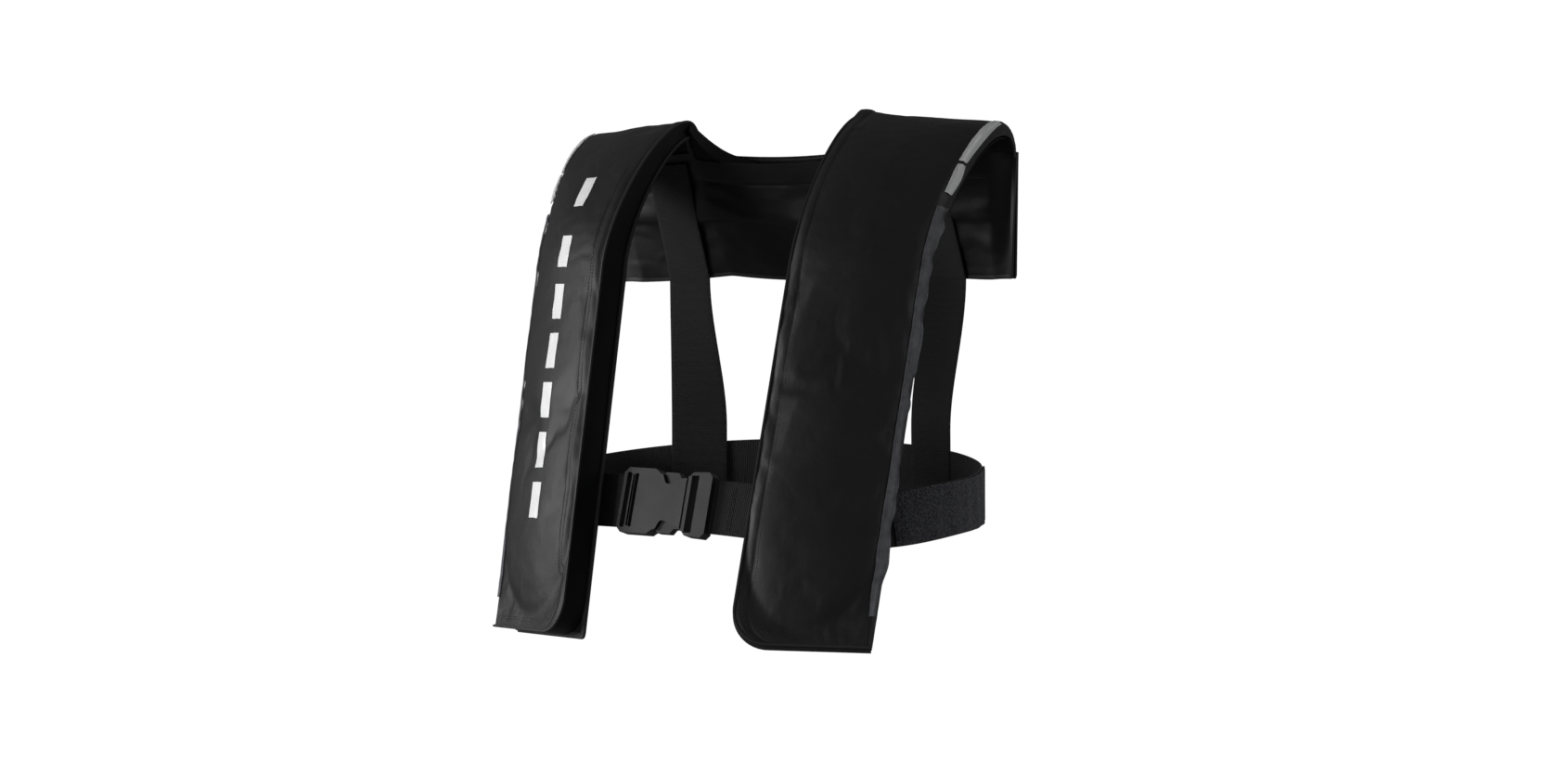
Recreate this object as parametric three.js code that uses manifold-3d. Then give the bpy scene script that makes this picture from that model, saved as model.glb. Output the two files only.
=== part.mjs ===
// Waist-belted inflatable life jacket, hung open as if worn. Millimetres, +Z up, the wearer faces -Y.
// The origin lies midway between the two shoulder saddles, where the wearer's shoulders carry it.
import * as THREE from 'three';
import { mergeVertices } from 'three/addons/utils/BufferGeometryUtils.js';
import Module from 'manifold-3d';

const wasm = await Module();
wasm.setup();

const V = (x, y, z) => new THREE.Vector3(x, y, z);

// Driving dimensions. Heights are measured up from the lobe bottoms and shifted to the origin at the end.
const ORIGIN = V(0, 100, 462);
const GAP = 0.4;
const LOBE_WIDTH = 127;
const LOBE_LENGTH = 347;
const LOBE_DEPTH = 26;
const SHOULDER_DEPTH = 16;
const LOBE_FOOT = V(89.3, -163.7, 8);
const LOBE_ACROSS = V(0.893, 0.44, -0.035).normalize();
const LOBE_UP = V(0.035, 0.29, 1).normalize();
const CORNER_RADIUS = 34;
const FACE_CELLS = 8;
const FACE_EDGE = -3.1;
const CLOTH = 2.2;
const TAPE_WIDTH = 15.5;
const RIDGE = V(97, 83, 481);
const RIDGE_ACROSS = V(0.964, 0.258, -0.066).normalize();
const RIDGE_WIDTH = LOBE_WIDTH + 9;
const NAPE_DROP = 31;
const NAPE_BACK = 25;
const YOKE_HEIGHT = 110;
const YOKE_LEAN = 63.4;
const YOKE_SIDE_LEAN = 10.25;
const BELT_HALF_WIDTH = 228;
const BELT_HALF_DEPTH = 136;
const BELT_CENTRE_Y = 40;
const BELT_ROUNDNESS = 2.1;
const BELT_HEIGHT = 122;
const BELT_BACK_RISE = 21;
const BELT_SAG = 14;
const WEB_WIDTH = 50;
const WEB_THICK = 2.2;
const KEEPER_U = 66;
const KEEPER_FRONT = 29.2;
const STRAP_WIDTH = 52;
const STRAP_TOP_X = 130;
const STRAP_HEM_X = 149;
const STRAP_LOW_X = 130;
const STRAP_END = 117;
const BUCKLE_HEIGHT = 61;
const BUCKLE_DEPTH = 14;
const CYLINDER_DIAMETER = 24;
const CYLINDER_LENGTH = 104;
const CYLINDER_CLEARANCE = 1.5;
const FACE_RISE = 1.5 * CYLINDER_DIAMETER - 26;
const TUBE_DIAMETER = 13;
const TUBE_LENGTH = 112;
const FLAP_DASHES = 5;
const DASH_START = 104;
const DASH_LENGTH = 34;
const DASH_PITCH = 48;
const SHOULDER_DASHES = [[1, 1.15], [1.3, 1.45]];

const BLACK_CLOTH = { color: 0x1b1c1f, roughness: 0.62, metalness: 0 };
const DARK_WEB = { color: 0x202124, roughness: 0.85, metalness: 0 };
const LINING = { color: 0x17181b, roughness: 0.7, metalness: 0 };
const TAPE = { color: 0x3a3b3f, roughness: 0.95, metalness: 0 };
const PLASTIC = { color: 0x3c3c40, roughness: 0.5, metalness: 0 };
const SILVER = { color: 0xa9abae, roughness: 0.4, metalness: 0.3 };
const BLADDER = { color: 0xe8d21d, roughness: 0.55, metalness: 0 };
const STEEL = { color: 0xb9bcc0, roughness: 0.3, metalness: 0.9 };
const RED_PLASTIC = { color: 0xc4201c, roughness: 0.45, metalness: 0 };

const jacket = new THREE.Group();
jacket.position.copy(ORIGIN).negate();

// ---- closed meshes ----

function signedVolume(geometry) {
  const p = geometry.attributes.position;
  const index = geometry.index;
  const [a, b, c] = [V(0, 0, 0), V(0, 0, 0), V(0, 0, 0)];
  let sum = 0;
  for (let i = 0; i < index.count; i += 3) {
    a.fromBufferAttribute(p, index.getX(i));
    b.fromBufferAttribute(p, index.getX(i + 1));
    c.fromBufferAttribute(p, index.getX(i + 2));
    sum += a.dot(b.cross(c));
  }
  return sum / 6;
}

// Keeps only merged positions, and turns the faces outwards if a mapping has mirrored them.
function closed(source) {
  const bare = new THREE.BufferGeometry();
  bare.setAttribute('position', source.attributes.position);
  if (source.index) bare.setIndex(source.index);
  const merged = mergeVertices(bare, 1e-3);
  if (signedVolume(merged) < 0) {
    const index = merged.index;
    for (let i = 0; i < index.count; i += 3) {
      const kept = index.getX(i + 1);
      index.setX(i + 1, index.getX(i + 2));
      index.setX(i + 2, kept);
    }
  }
  return merged;
}

function mapped(geometry, where) {
  const p = geometry.attributes.position;
  for (let i = 0; i < p.count; i++) {
    const q = where(p.getX(i), p.getY(i), p.getZ(i));
    p.setXYZ(i, q.x, q.y, q.z);
  }
  return closed(geometry);
}

function mirrored(geometry) {
  return mapped(geometry.clone(), (x, y, z) => V(-x, y, z));
}

function add(name, geometry, finish) {
  const mesh = new THREE.Mesh(closed(geometry), new THREE.MeshStandardMaterial(finish));
  mesh.geometry.computeVertexNormals();
  mesh.name = name;
  jacket.add(mesh);
  return mesh;
}

function solid(geometry) {
  const g = closed(geometry);
  return new wasm.Manifold(new wasm.Mesh({
    numProp: 3,
    vertProperties: new Float32Array(g.attributes.position.array),
    triVerts: new Uint32Array(g.index.array),
  }));
}

function surfaceOf(manifold) {
  const mesh = manifold.getMesh();
  const g = new THREE.BufferGeometry();
  g.setAttribute('position', new THREE.BufferAttribute(new Float32Array(mesh.vertProperties), 3));
  g.setIndex(new THREE.BufferAttribute(new Uint32Array(mesh.triVerts), 1));
  return g;
}

function joined(...geometries) {
  return surfaceOf(geometries.map(solid).reduce((whole, next) => whole.add(next)));
}

function cutFrom(body, ...tools) {
  return surfaceOf(tools.map(solid).reduce((rest, tool) => rest.subtract(tool), solid(body)));
}

// A block between two corners, in whatever local axes the caller uses.
function block(x0, x1, y0, y1, z0, z1) {
  const g = new THREE.BoxGeometry(x1 - x0, y1 - y0, z1 - z0);
  return g.translate((x0 + x1) / 2, (y0 + y1) / 2, (z0 + z1) / 2);
}

// An outline in local X and Z, with depth along local Y.
function plate(points, y0, y1, holes = []) {
  const outline = points.map(([x, z]) => new THREE.Vector2(x, z));
  if (THREE.ShapeUtils.isClockWise(outline)) outline.reverse();
  const shape = new THREE.Shape(outline);
  for (const hole of holes) {
    shape.holes.push(new THREE.Path(hole.map(([x, z]) => new THREE.Vector2(x, z))));
  }
  const g = new THREE.ExtrudeGeometry(shape, { depth: y1 - y0, bevelEnabled: false });
  return mapped(g, (x, z, y) => V(x, y0 + y, z));
}

function rectangle(x0, x1, z0, z1) {
  return [[x0, z0], [x1, z0], [x1, z1], [x0, z1]];
}

// ---- the lobe: a ruled strip between an inner and an outer edge, up the chest and over the shoulder ----
// s runs 0 to 1 up the straight front, 1 to 2 round to the shoulder ridge and 2 to 3 down to the nape seam.

const along = (from, direction, distance) => from.clone().addScaledVector(direction, distance);

function edgePath(foot, ridge, nape, napeSlope) {
  const top = along(foot, LOBE_UP, LOBE_LENGTH);
  const down = V(0, napeSlope, -1).normalize();
  const front = new THREE.CubicBezierCurve3(top, along(top, LOBE_UP, 60), along(ridge, V(0, -1, 0), 50), ridge);
  const back = new THREE.CubicBezierCurve3(ridge, along(ridge, V(0, 1, 0), 16), along(nape, down, -16), nape);
  return (s) => {
    if (s <= 1) return foot.clone().lerp(top, s);
    if (s <= 2) return front.getPoint(s - 1);
    if (s <= 3) return back.getPoint(s - 2);
    return along(nape, down, (s - 3) * 40);
  };
}

const NAPE_INNER = V(RIDGE.x - 2, RIDGE.y + NAPE_BACK, RIDGE.z - NAPE_DROP);
const RIDGE_OUTER = along(RIDGE, RIDGE_ACROSS, RIDGE_WIDTH);
const NAPE_OUTER = V(RIDGE_OUTER.x + 1, RIDGE_OUTER.y + NAPE_BACK, RIDGE_OUTER.z - NAPE_DROP + 2);
const innerEdge = edgePath(LOBE_FOOT, RIDGE, NAPE_INNER, 0.45);
const outerEdge = edgePath(along(LOBE_FOOT, LOBE_ACROSS, LOBE_WIDTH), RIDGE_OUTER, NAPE_OUTER, 0.1);

// Below the face's underside the layers close up towards the shoulder, where the lobe is thinner.
function layer(s, n) {
  if (n > FACE_EDGE) return n;
  const thinned = (SHOULDER_DEPTH + FACE_EDGE) / (LOBE_DEPTH + FACE_EDGE);
  return FACE_EDGE + (n - FACE_EDGE) * THREE.MathUtils.lerp(1, thinned, THREE.MathUtils.clamp(s - 1, 0, 1));
}

// How far the padded front face stands above its edges, level between the cells of the face.
function faceRise(u, s) {
  const cell = THREE.MathUtils.clamp(u / LOBE_WIDTH, 0, 1) * FACE_CELLS;
  const low = Math.min(Math.floor(cell), FACE_CELLS - 1);
  const crown = (k) => 1 - (2 * k / FACE_CELLS - 1) ** 2;
  const across = THREE.MathUtils.lerp(crown(low), crown(low + 1), cell - low);
  const foot = THREE.MathUtils.smoothstep(s, 0, 0.16);
  const shoulder = 1 - 0.75 * THREE.MathUtils.smoothstep(s, 1, 2);
  return FACE_RISE * across * foot * shoulder;
}

// A point of the left lobe: u in millimetres from the inner edge, s along it, rise out of the front face.
function lobeSurface(u, s, rise) {
  const inner = innerEdge(s);
  const outer = outerEdge(s);
  const share = u / LOBE_WIDTH;
  const step = 0.01;
  const s0 = Math.max(s - step, 0);
  const ahead = innerEdge(s + step).lerp(outerEdge(s + step), share);
  const behind = innerEdge(s0).lerp(outerEdge(s0), share);
  const across = outer.clone().sub(inner);
  const normal = across.cross(ahead.sub(behind)).normalize();
  return inner.lerp(outer, share).addScaledVector(normal, rise);
}

const lobePoint = (u, s, n) => lobeSurface(u, s, layer(s, n));

// The face's lower inner corner is rounded: how far its edge lies in from the straight one.
function cornerInset(s) {
  const height = s * LOBE_LENGTH;
  if (height >= CORNER_RADIUS) return 0;
  return CORNER_RADIUS - Math.sqrt(CORNER_RADIUS ** 2 - (CORNER_RADIUS - height) ** 2);
}

const FRONT_ROWS = [0.03, 0.06, 0.1, 0.2, 0.35, 0.5, 0.65, 0.8, 0.9];
const SHOULDER_ROWS = [1, 1.15, 1.3, 1.45, 1.6, 1.72, 1.83, 1.92, 2, 2.12, 2.25, 2.4, 2.55, 2.7, 2.83, 2.95];

// Sweeps a closed section of [u, n] points along rows of s.
function lobeSweep(section, rows, place) {
  const shape = new THREE.Shape(section.map(([u, n]) => new THREE.Vector2(u, n)));
  const steps = rows.length - 1;
  const g = new THREE.ExtrudeGeometry(shape, { depth: 1, steps, bevelEnabled: false });
  return mapped(g, (u, n, t) => place(u, n, rows[Math.round(t * steps)]));
}

const onFace = (u, n, s) => lobePoint(u, s, n + (n > FACE_EDGE ? faceRise(u, s) : 0));

// The flap and the shoulder cover bend over the padded face: its edge follows the rounded corner.
function onFlap(u, n, s) {
  const warped = u + cornerInset(s) * (1 - u / LOBE_WIDTH);
  return lobePoint(warped, s, n + (n > FACE_EDGE ? faceRise(u, s) : 0));
}

function faceLine(n) {
  const points = [];
  for (let k = 0; k <= FACE_CELLS; k++) points.push([LOBE_WIDTH * k / FACE_CELLS, n]);
  return points;
}

const flat = (u, n, s) => lobePoint(u, s, n);
const band = (u0, u1, n0, n1) => [[u0, n0], [(u0 + u1) / 2, n0], [u1, n0], [u1, n1], [(u0 + u1) / 2, n1], [u0, n1]];
const BACK_TOP = CLOTH - LOBE_DEPTH;
const HOOK_TOP = BACK_TOP + GAP + 0.9;
const LOOP_TOP = HOOK_TOP + GAP + 0.9;
const FLANGE_TOP = LOOP_TOP + GAP + 1.6;
const FACE_UNDER = -2.6;

// The left panel's lower inner corner is rounded with the face, and the right one is left square.
function backingPanel(side) {
  const rows = [0, ...FRONT_ROWS, ...SHOULDER_ROWS];
  return lobeSweep([...faceLine(-LOBE_DEPTH), ...faceLine(BACK_TOP).reverse()], rows, side === 'left' ? onFlap : flat);
}

// A wall that follows a line: where(step, inwards, up) places its corners, inwards and up 0 or 1.
function wall(cells, where) {
  const g = new THREE.BoxGeometry(1, 1, 1, cells, 1, 1).translate(0.5, 0.5, 0.5);
  return mapped(g, (p, q, r) => where(Math.round(p * cells), q, r));
}

// The side wall: one ribbon of cloth down the inner edge, round the corner and along the bottom.
function gussetRibbon() {
  const line = (inset) => {
    const points = [...SHOULDER_ROWS, 0.9, 0.8, 0.65, 0.5, 0.35, 0.2].sort((a, b) => b - a).map((s) => [inset, s]);
    const radius = CORNER_RADIUS - inset;
    for (let k = 0; k <= 5; k++) {
      const turn = Math.PI / 2 * k / 5;
      points.push([CORNER_RADIUS - radius * Math.cos(turn),
        (CORNER_RADIUS - radius * Math.sin(turn)) / LOBE_LENGTH]);
    }
    for (const u of [48, 64, 80, 95, LOBE_WIDTH - 18]) points.push([u, inset / LOBE_LENGTH]);
    return points;
  };
  const sides = [line(0.3), line(0.3 + CLOTH)];
  return wall(sides[0].length - 1, (step, inwards, up) => {
    const [u, s] = sides[inwards][step];
    return lobePoint(u, s, up ? FACE_EDGE : BACK_TOP + GAP);
  });
}

function coverFlap() {
  const edge = LOBE_WIDTH;
  const low = LOOP_TOP + GAP;
  const section = [...faceLine(0), [edge, low], [edge - TAPE_WIDTH, low], [edge - TAPE_WIDTH, FLANGE_TOP],
    [edge - CLOTH, FLANGE_TOP], [edge - CLOTH, FACE_UNDER - 0.5],
    ...faceLine(FACE_UNDER).slice(0, -1).reverse()];
  return lobeSweep(section, [0.002, ...FRONT_ROWS, 0.993], onFlap);
}

function shoulderCover() {
  const edge = LOBE_WIDTH;
  const section = [...faceLine(0), [edge, BACK_TOP + GAP], [edge - CLOTH, BACK_TOP + GAP],
    [edge - CLOTH, FACE_UNDER - 0.5], ...faceLine(FACE_UNDER).slice(0, -1).reverse()];
  return lobeSweep(section, SHOULDER_ROWS, onFace);
}

function closureTape(n0, n1) {
  const rows = [0.03, ...FRONT_ROWS.slice(1), 0.97];
  return lobeSweep(band(LOBE_WIDTH - TAPE_WIDTH + 0.6, LOBE_WIDTH - 0.8, n0, n1), rows, flat);
}

// Plain reflective dashes lie on the face, each within one cell of it.
function reflectiveDash(s0, s1) {
  const u0 = LOBE_WIDTH * 3 / FACE_CELLS;
  const u1 = LOBE_WIDTH * 4 / FACE_CELLS;
  return lobeSweep([[u0, 0.35], [u1, 0.35], [u1, 0.9], [u0, 0.9]], [s0, s1], onFace);
}

function dashRows() {
  const rows = [];
  for (let k = 0; k < FLAP_DASHES; k++) {
    const low = DASH_START + DASH_PITCH * k;
    rows.push([low / LOBE_LENGTH, (low + DASH_LENGTH) / LOBE_LENGTH]);
  }
  return [...rows, ...SHOULDER_DASHES];
}

// ---- the yoke behind the neck: from the nape line down to its hem, u -1 to 1 and v 0 to 1 ----

function yokePoint(a, v, n) {
  const at = (p, q) => {
    const x = Math.abs(p) * NAPE_OUTER.x;
    const share = THREE.MathUtils.clamp((x - NAPE_INNER.x) / (NAPE_OUTER.x - NAPE_INNER.x), 0, 1);
    const top = NAPE_INNER.clone().lerp(NAPE_OUTER, share);
    const scoop = Math.min(x / NAPE_INNER.x, 1) ** 2;
    const topY = x < NAPE_INNER.x ? NAPE_INNER.y + 2 - 2 * scoop : top.y;
    const topZ = x < NAPE_INNER.x ? NAPE_INNER.z - 6 + 6 * scoop : top.z;
    const lean = THREE.MathUtils.lerp(YOKE_LEAN, YOKE_SIDE_LEAN, Math.abs(p) ** 4);
    const narrow = 1 - 0.03 * q;
    return V(Math.sign(p) * x * narrow, topY + lean * q, topZ - (YOKE_HEIGHT + 6 * p * p) * q);
  };
  const step = 0.01;
  const across = at(a + step, v).sub(at(a - step, v));
  const down = at(a, v + step).sub(at(a, v - step));
  return at(a, v).addScaledVector(across.cross(down).normalize(), n);
}

function yokeSheet(a0, a1, cells, v0, v1, rows, n0, n1) {
  const g = new THREE.BoxGeometry(1, 1, 1, cells, rows, 1).translate(0.5, 0.5, 0.5);
  const mix = THREE.MathUtils.lerp;
  return mapped(g, (p, q, r) => yokePoint(mix(a0, a1, p), mix(v0, v1, q), mix(n0, n1, r)));
}

// The yoke's edge wall: one ribbon down each side and along the hem.
function yokeRim() {
  const line = (inset) => {
    const [side, hem] = [0.999 - inset / NAPE_OUTER.x, 0.999 - inset / YOKE_HEIGHT];
    const points = [0.03, 0.25, 0.5, 0.75].map((v) => [-side, v]);
    for (let k = 0; k <= 24; k++) points.push([(k / 12 - 1) * side, hem]);
    return [...points, ...[0.75, 0.5, 0.25, 0.03].map((v) => [side, v])];
  };
  const sides = [line(0), line(CLOTH)];
  return wall(sides[0].length - 1, (step, inwards, up) => {
    const [a, v] = sides[inwards][step];
    return yokePoint(a, v, up ? -3.5 : BACK_TOP + 0.6 + LOBE_DEPTH - SHOULDER_DEPTH);
  });
}

// ---- the folded bladder inside: two long lobes and the part behind the neck, welded as one ----

function bladderLobe() {
  const rows = [0.1, ...FRONT_ROWS.slice(3), ...SHOULDER_ROWS, 3, 3.3];
  const low = BACK_TOP + 0.6;
  const [fold, end] = [LOBE_WIDTH / 2, LOBE_WIDTH - 20];
  const cells = [1, 2, 3].map((k) => LOBE_WIDTH * k / FACE_CELLS);
  const section = [[5, low], ...[...cells, fold, ...[5, 6].map((k) => LOBE_WIDTH * k / FACE_CELLS), end]
    .map((u) => [u, low]), ...[end, ...[6, 5].map((k) => LOBE_WIDTH * k / FACE_CELLS), fold]
    .map((u) => [u, low + 2.2]), ...[fold, ...cells.slice().reverse(), 5].map((u) => [u, -4])];
  return lobeSweep(section, rows, (u, n, s) => {
    const pinch = 1 - 0.42 * THREE.MathUtils.clamp((s - 2.4) / 0.5, 0, 1);
    return lobeSurface(u, s, -8 + (layer(s, n) + 8) * pinch);
  });
}

function bladder() {
  const left = bladderLobe();
  return joined(left, mirrored(left), yokeSheet(-10 / 12, 10 / 12, 20, 0.07, 0.9, 4, -12.5, -3.8));
}

// ---- waist belt: a loop of webbing round the body, its angle 0 at the wearer's left and 90 at the back ----

function beltMiddle(degrees) {
  const t = THREE.MathUtils.degToRad(degrees);
  const [c, s] = [Math.cos(t), Math.sin(t)];
  const power = 2 / BELT_ROUNDNESS;
  const wrapped = THREE.MathUtils.euclideanModulo(degrees + 180, 360) - 180;
  const sag = BELT_SAG * Math.exp(-(((wrapped + 45) / 30) ** 2));
  const level = BELT_HEIGHT + (s > 0 ? BELT_BACK_RISE : -3) * s * Math.abs(s) ** 0.3;
  const y = BELT_CENTRE_Y + BELT_HALF_DEPTH * Math.sign(s) * Math.abs(s) ** power;
  return V(BELT_HALF_WIDTH * Math.sign(c) * Math.abs(c) ** power, y - sag * LOBE_UP.y / LOBE_UP.z, level - sag);
}

function beltPlace(degrees, out, up) {
  const run = beltMiddle(degrees + 0.5).sub(beltMiddle(degrees - 0.5)).normalize();
  const lean = 0.29 * THREE.MathUtils.smoothstep(-Math.sin(THREE.MathUtils.degToRad(degrees)), 0, 0.8);
  const facing = run.clone().cross(V(0, lean, 1)).normalize();
  const rise = facing.clone().cross(run);
  return {
    point: beltMiddle(degrees).addScaledVector(facing, out).addScaledVector(rise, up), run, rise, facing,
  };
}

function beltRibbon(from, to, cells, inner, outer, half = WEB_WIDTH / 2) {
  const g = new THREE.BoxGeometry(1, 1, 1, cells, 1, 1);
  const mix = THREE.MathUtils.lerp;
  return mapped(g, (p, q, r) => beltPlace(mix(from, to, p + 0.5), mix(inner, outer, q + 0.5), 2 * r * half).point);
}

// The belt's angle where it crosses a given X on the wearer's front.
function frontAngle(x) {
  const share = Math.abs(x) / BELT_HALF_WIDTH;
  const t = Math.acos(share ** (BELT_ROUNDNESS / 2));
  return x > 0 ? -THREE.MathUtils.radToDeg(t) : -180 + THREE.MathUtils.radToDeg(t);
}

// Puts a rigid piece, drawn in local X along the belt, Y inwards and Z up, at a place on the belt.
function atBelt(geometry, degrees) {
  const { point, run, rise, facing } = beltPlace(degrees, 0, 0);
  const basis = new THREE.Matrix4().makeBasis(run, facing.clone().negate(), rise).setPosition(point);
  return closed(geometry).applyMatrix4(basis);
}

// Three-bar slider that joins the adjustable end of the belt.
function beltSlider() {
  const [h, w] = [WEB_WIDTH / 2 + 1.5, WEB_THICK / 2 + 1.4];
  return cutFrom(block(-14, 14, -4.5, 4.5, -h - 5, h + 5), block(-20, 20, -w, w, -h, h));
}

// ---- side-release buckle, local X along the belt, Z up, the front towards -Y ----

const HALF = BUCKLE_HEIGHT / 2;
const THICK = BUCKLE_DEPTH / 2;
const FEMALE_LEFT = -52;
const FEMALE_RIGHT = 17;
const MALE_RIGHT = 44;

function buckleFemale() {
  const [l, r, c] = [FEMALE_LEFT, FEMALE_RIGHT, 5];
  const half = [[l + c, HALF], [-18, HALF], [-12, HALF - 4.5], [8, HALF - 4.5], [14, HALF], [r, HALF - 1]];
  const top = [[l, HALF - c], ...half];
  const outline = [...top, ...top.slice().reverse().map(([x, z]) => [x, -z])];
  const slots = [rectangle(l + 4, l + 7.4, -26, 26), rectangle(l + 10, l + 12, -24, 24)];
  const shell = plate(outline, -THICK, THICK, slots.map((s) => s.slice().reverse()));
  const cavity = block(l + 15, r + 5, -4.2, 4.2, -24.6, 24.6);
  const window = block(-13, 9.5, -4.2, 4.2, -40, 40);
  return cutFrom(shell, cavity, window);
}

function buckleMale() {
  const [l, r, c] = [FEMALE_RIGHT + GAP, MALE_RIGHT, 4];
  const outline = [[l, -HALF + 1], [r - c, -HALF], [r, -HALF + c], [r, HALF - c], [r - c, HALF], [l, HALF - 1]];
  const base = plate(outline, -6, 6, [rectangle(l + 4.5, l + 12, -26.5, 26.5).reverse()]);
  return joined(base, block(-35, l + 2, -3.8, 3.8, -3.2, 3.2));
}

// One sprung arm: a bar with a side button that bulges out of the female half's notch.
function buckleArm() {
  const outline = [[FEMALE_RIGHT, 13], [FEMALE_RIGHT, 23.6], [9.5, 24.2], [6, 28.8], [-8, 28.8], [-12, 25.5], [-12, 24.2],
    [-26, 24.2], [-29, 21], [-29, 15]];
  return plate(outline, -3.8, 3.8);
}

// ---- back straps: sewn inside the yoke and down to the back of the belt ----

function backStrap() {
  const rows = [0.07, 0.25, 0.45, 0.65, 0.85, 1, 1.15, 1.35, 1.55, 1.7, 1.78, 1.9, 2];
  const g = new THREE.BoxGeometry(1, 1, 1, 4, 1, rows.length - 1);
  const onYoke = (p, q, v) => {
    const x = THREE.MathUtils.lerp(STRAP_TOP_X, STRAP_HEM_X, v) + p * STRAP_WIDTH;
    return yokePoint(x / NAPE_OUTER.x, v, -SHOULDER_DEPTH - 0.75 - WEB_THICK / 2 + q * WEB_THICK);
  };
  const hem = yokePoint(STRAP_HEM_X / NAPE_OUTER.x, 1, -SHOULDER_DEPTH).z;
  const onBelt = (p, q, z) => {
    const x = STRAP_LOW_X + p * STRAP_WIDTH;
    const round = (1 - (x / BELT_HALF_WIDTH) ** BELT_ROUNDNESS) ** (1 / BELT_ROUNDNESS);
    const y = BELT_CENTRE_Y + BELT_HALF_DEPTH * round - WEB_THICK - 0.2;
    return V(x, y + (q - 0.5) * WEB_THICK, z);
  };
  return mapped(g, (p, q, r) => {
    const row = rows[Math.round((r + 0.5) * (rows.length - 1))];
    if (row <= 1) return onYoke(p, q, row);
    const z = THREE.MathUtils.lerp(hem, STRAP_END, row - 1);
    const share = THREE.MathUtils.smoothstep(row, 1, 1.7);
    const hung = onYoke(p, q, 1).setZ(z);
    return hung.lerp(onBelt(p, q, z), share);
  });
}

// ---- inflator and oral tube: rigid pieces laid in the straight part of a lobe ----

// Local X across the lobe, Y up it and Z out of its face, from a point u, height and n of the lobe.
function inLobe(geometry, u, height, n) {
  const normal = LOBE_ACROSS.clone().cross(LOBE_UP).normalize();
  const across = LOBE_UP.clone().cross(normal);
  const basis = new THREE.Matrix4().makeBasis(across, LOBE_UP, normal);
  basis.setPosition(lobePoint(u, height / LOBE_LENGTH, n));
  return closed(geometry).applyMatrix4(basis);
}

// A turned body about local Y from [radius, height] points.
function turned(profile, sides = 20) {
  return new THREE.LatheGeometry(profile.map(([r, y]) => new THREE.Vector2(r, y)), sides);
}

function rod(radius, y0, y1, sides = 20) {
  return new THREE.CylinderGeometry(radius, radius, y1 - y0, sides).translate(0, (y0 + y1) / 2, 0);
}

// A flat sewn sleeve on the back of a lobe, round the belt.
function beltKeeper(height) {
  const [half, front, back] = [WEB_WIDTH / 2 + 3, -KEEPER_FRONT, -KEEPER_FRONT - 5.6];
  const sleeve = block(-14, 14, -half - 1.8, half + 1.8, back - 1.5, -LOBE_DEPTH - GAP);
  const inner = cutFrom(sleeve, block(-20, 20, -half, half, back, front));
  return inLobe(inner, KEEPER_U, height, 0);
}

// The cylinder lies on the thin half of the bladder, so a thicker one stands higher in the lobe.
const INFLATOR_U = LOBE_WIDTH / 2 + 28.5;
const INFLATOR_HEIGHT = 150;
const INFLATOR_N = BACK_TOP + 0.6 + CLOTH + CYLINDER_CLEARANCE + CYLINDER_DIAMETER / 2;
const BODY_BACK = 2.4 - CYLINDER_DIAMETER / 2;
const BODY_FRONT = 8.8;

function inflatorBody() {
  const outline = [[-15, -22], [15, -22], [15, 16], [10, 22], [-10, 22], [-15, 16]];
  const shape = new THREE.Shape(outline.map(([x, y]) => new THREE.Vector2(x, y)));
  const depth = BODY_FRONT - BODY_BACK;
  const hull = new THREE.ExtrudeGeometry(shape, { depth, bevelEnabled: false }).translate(0, 0, BODY_BACK);
  return cutFrom(hull, rod(6.6, 8, 30), rod(3.4, -30, 30, 12), block(-30, 16, -40, -14, -2.6, 2.6));
}

function gasCylinder() {
  const r = CYLINDER_DIAMETER / 2;
  const top = 24 + CYLINDER_LENGTH;
  return turned([[0, 9], [5.8, 9], [5.8, 22.5], [7, 24.5], [r, 36], [r, top - 7], [r - 3, top - 2], [0, top]]);
}

function lever() {
  return block(-24, 3.2, -21.5, -15.5, -2.2, 2.2);
}

function pullHandle() {
  const outline = [[-14, -18], [-10, -22], [10, -22], [14, -18], [14, 18], [10, 22], [-10, 22], [-14, 18]];
  const hole = rectangle(-8, 8, -14, -2);
  const shape = new THREE.Shape(outline.map(([x, y]) => new THREE.Vector2(x, y)));
  shape.holes.push(new THREE.Path(hole.reverse().map(([x, y]) => new THREE.Vector2(x, y))));
  return new THREE.ExtrudeGeometry(shape, { depth: 6, bevelEnabled: false }).translate(0, 0, -3);
}

const TUBE_U = LOBE_WIDTH / 2 + 28.5;
const TUBE_FOOT = 70;
const TUBE_N = -12;

function oralTube() {
  const [r, bore, top] = [TUBE_DIAMETER / 2, TUBE_DIAMETER / 2 - 2.4, TUBE_LENGTH];
  const pipe = turned([[0, 0], [r, 0], [r, top], [bore, top], [bore, 8], [0, 8]]);
  const stub = rod(8.2, -8.5, 0).rotateX(Math.PI / 2).translate(0, 8, 0);
  return joined(pipe, stub);
}

function tubeCap() {
  const [inside, outside, top] = [TUBE_DIAMETER / 2 + 0.4, TUBE_DIAMETER / 2 + 1.9, TUBE_LENGTH + 4.4];
  return turned([[0, top], [outside, top], [outside, top - 18], [inside, top - 18], [inside, top - 2], [0, top - 2]]);
}

function whistleClip() {
  const bore = TUBE_DIAMETER / 2 + 0.4;
  return cutFrom(block(-20, 8.6, 20, 30, -7, 7.5), rod(bore, 10, 40), block(-30, -8.5, 10, 40, -1, 8));
}

function whistle() {
  const outline = [[-14, -6], [4, -6], [6, -2], [6, 30], [2, 36], [-6, 36], [-6, 8], [-12, 4]];
  const shape = new THREE.Shape(outline.map(([x, y]) => new THREE.Vector2(x, y)));
  return new THREE.ExtrudeGeometry(shape, { depth: 9, bevelEnabled: false });
}

// ---- assembly ----

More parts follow.
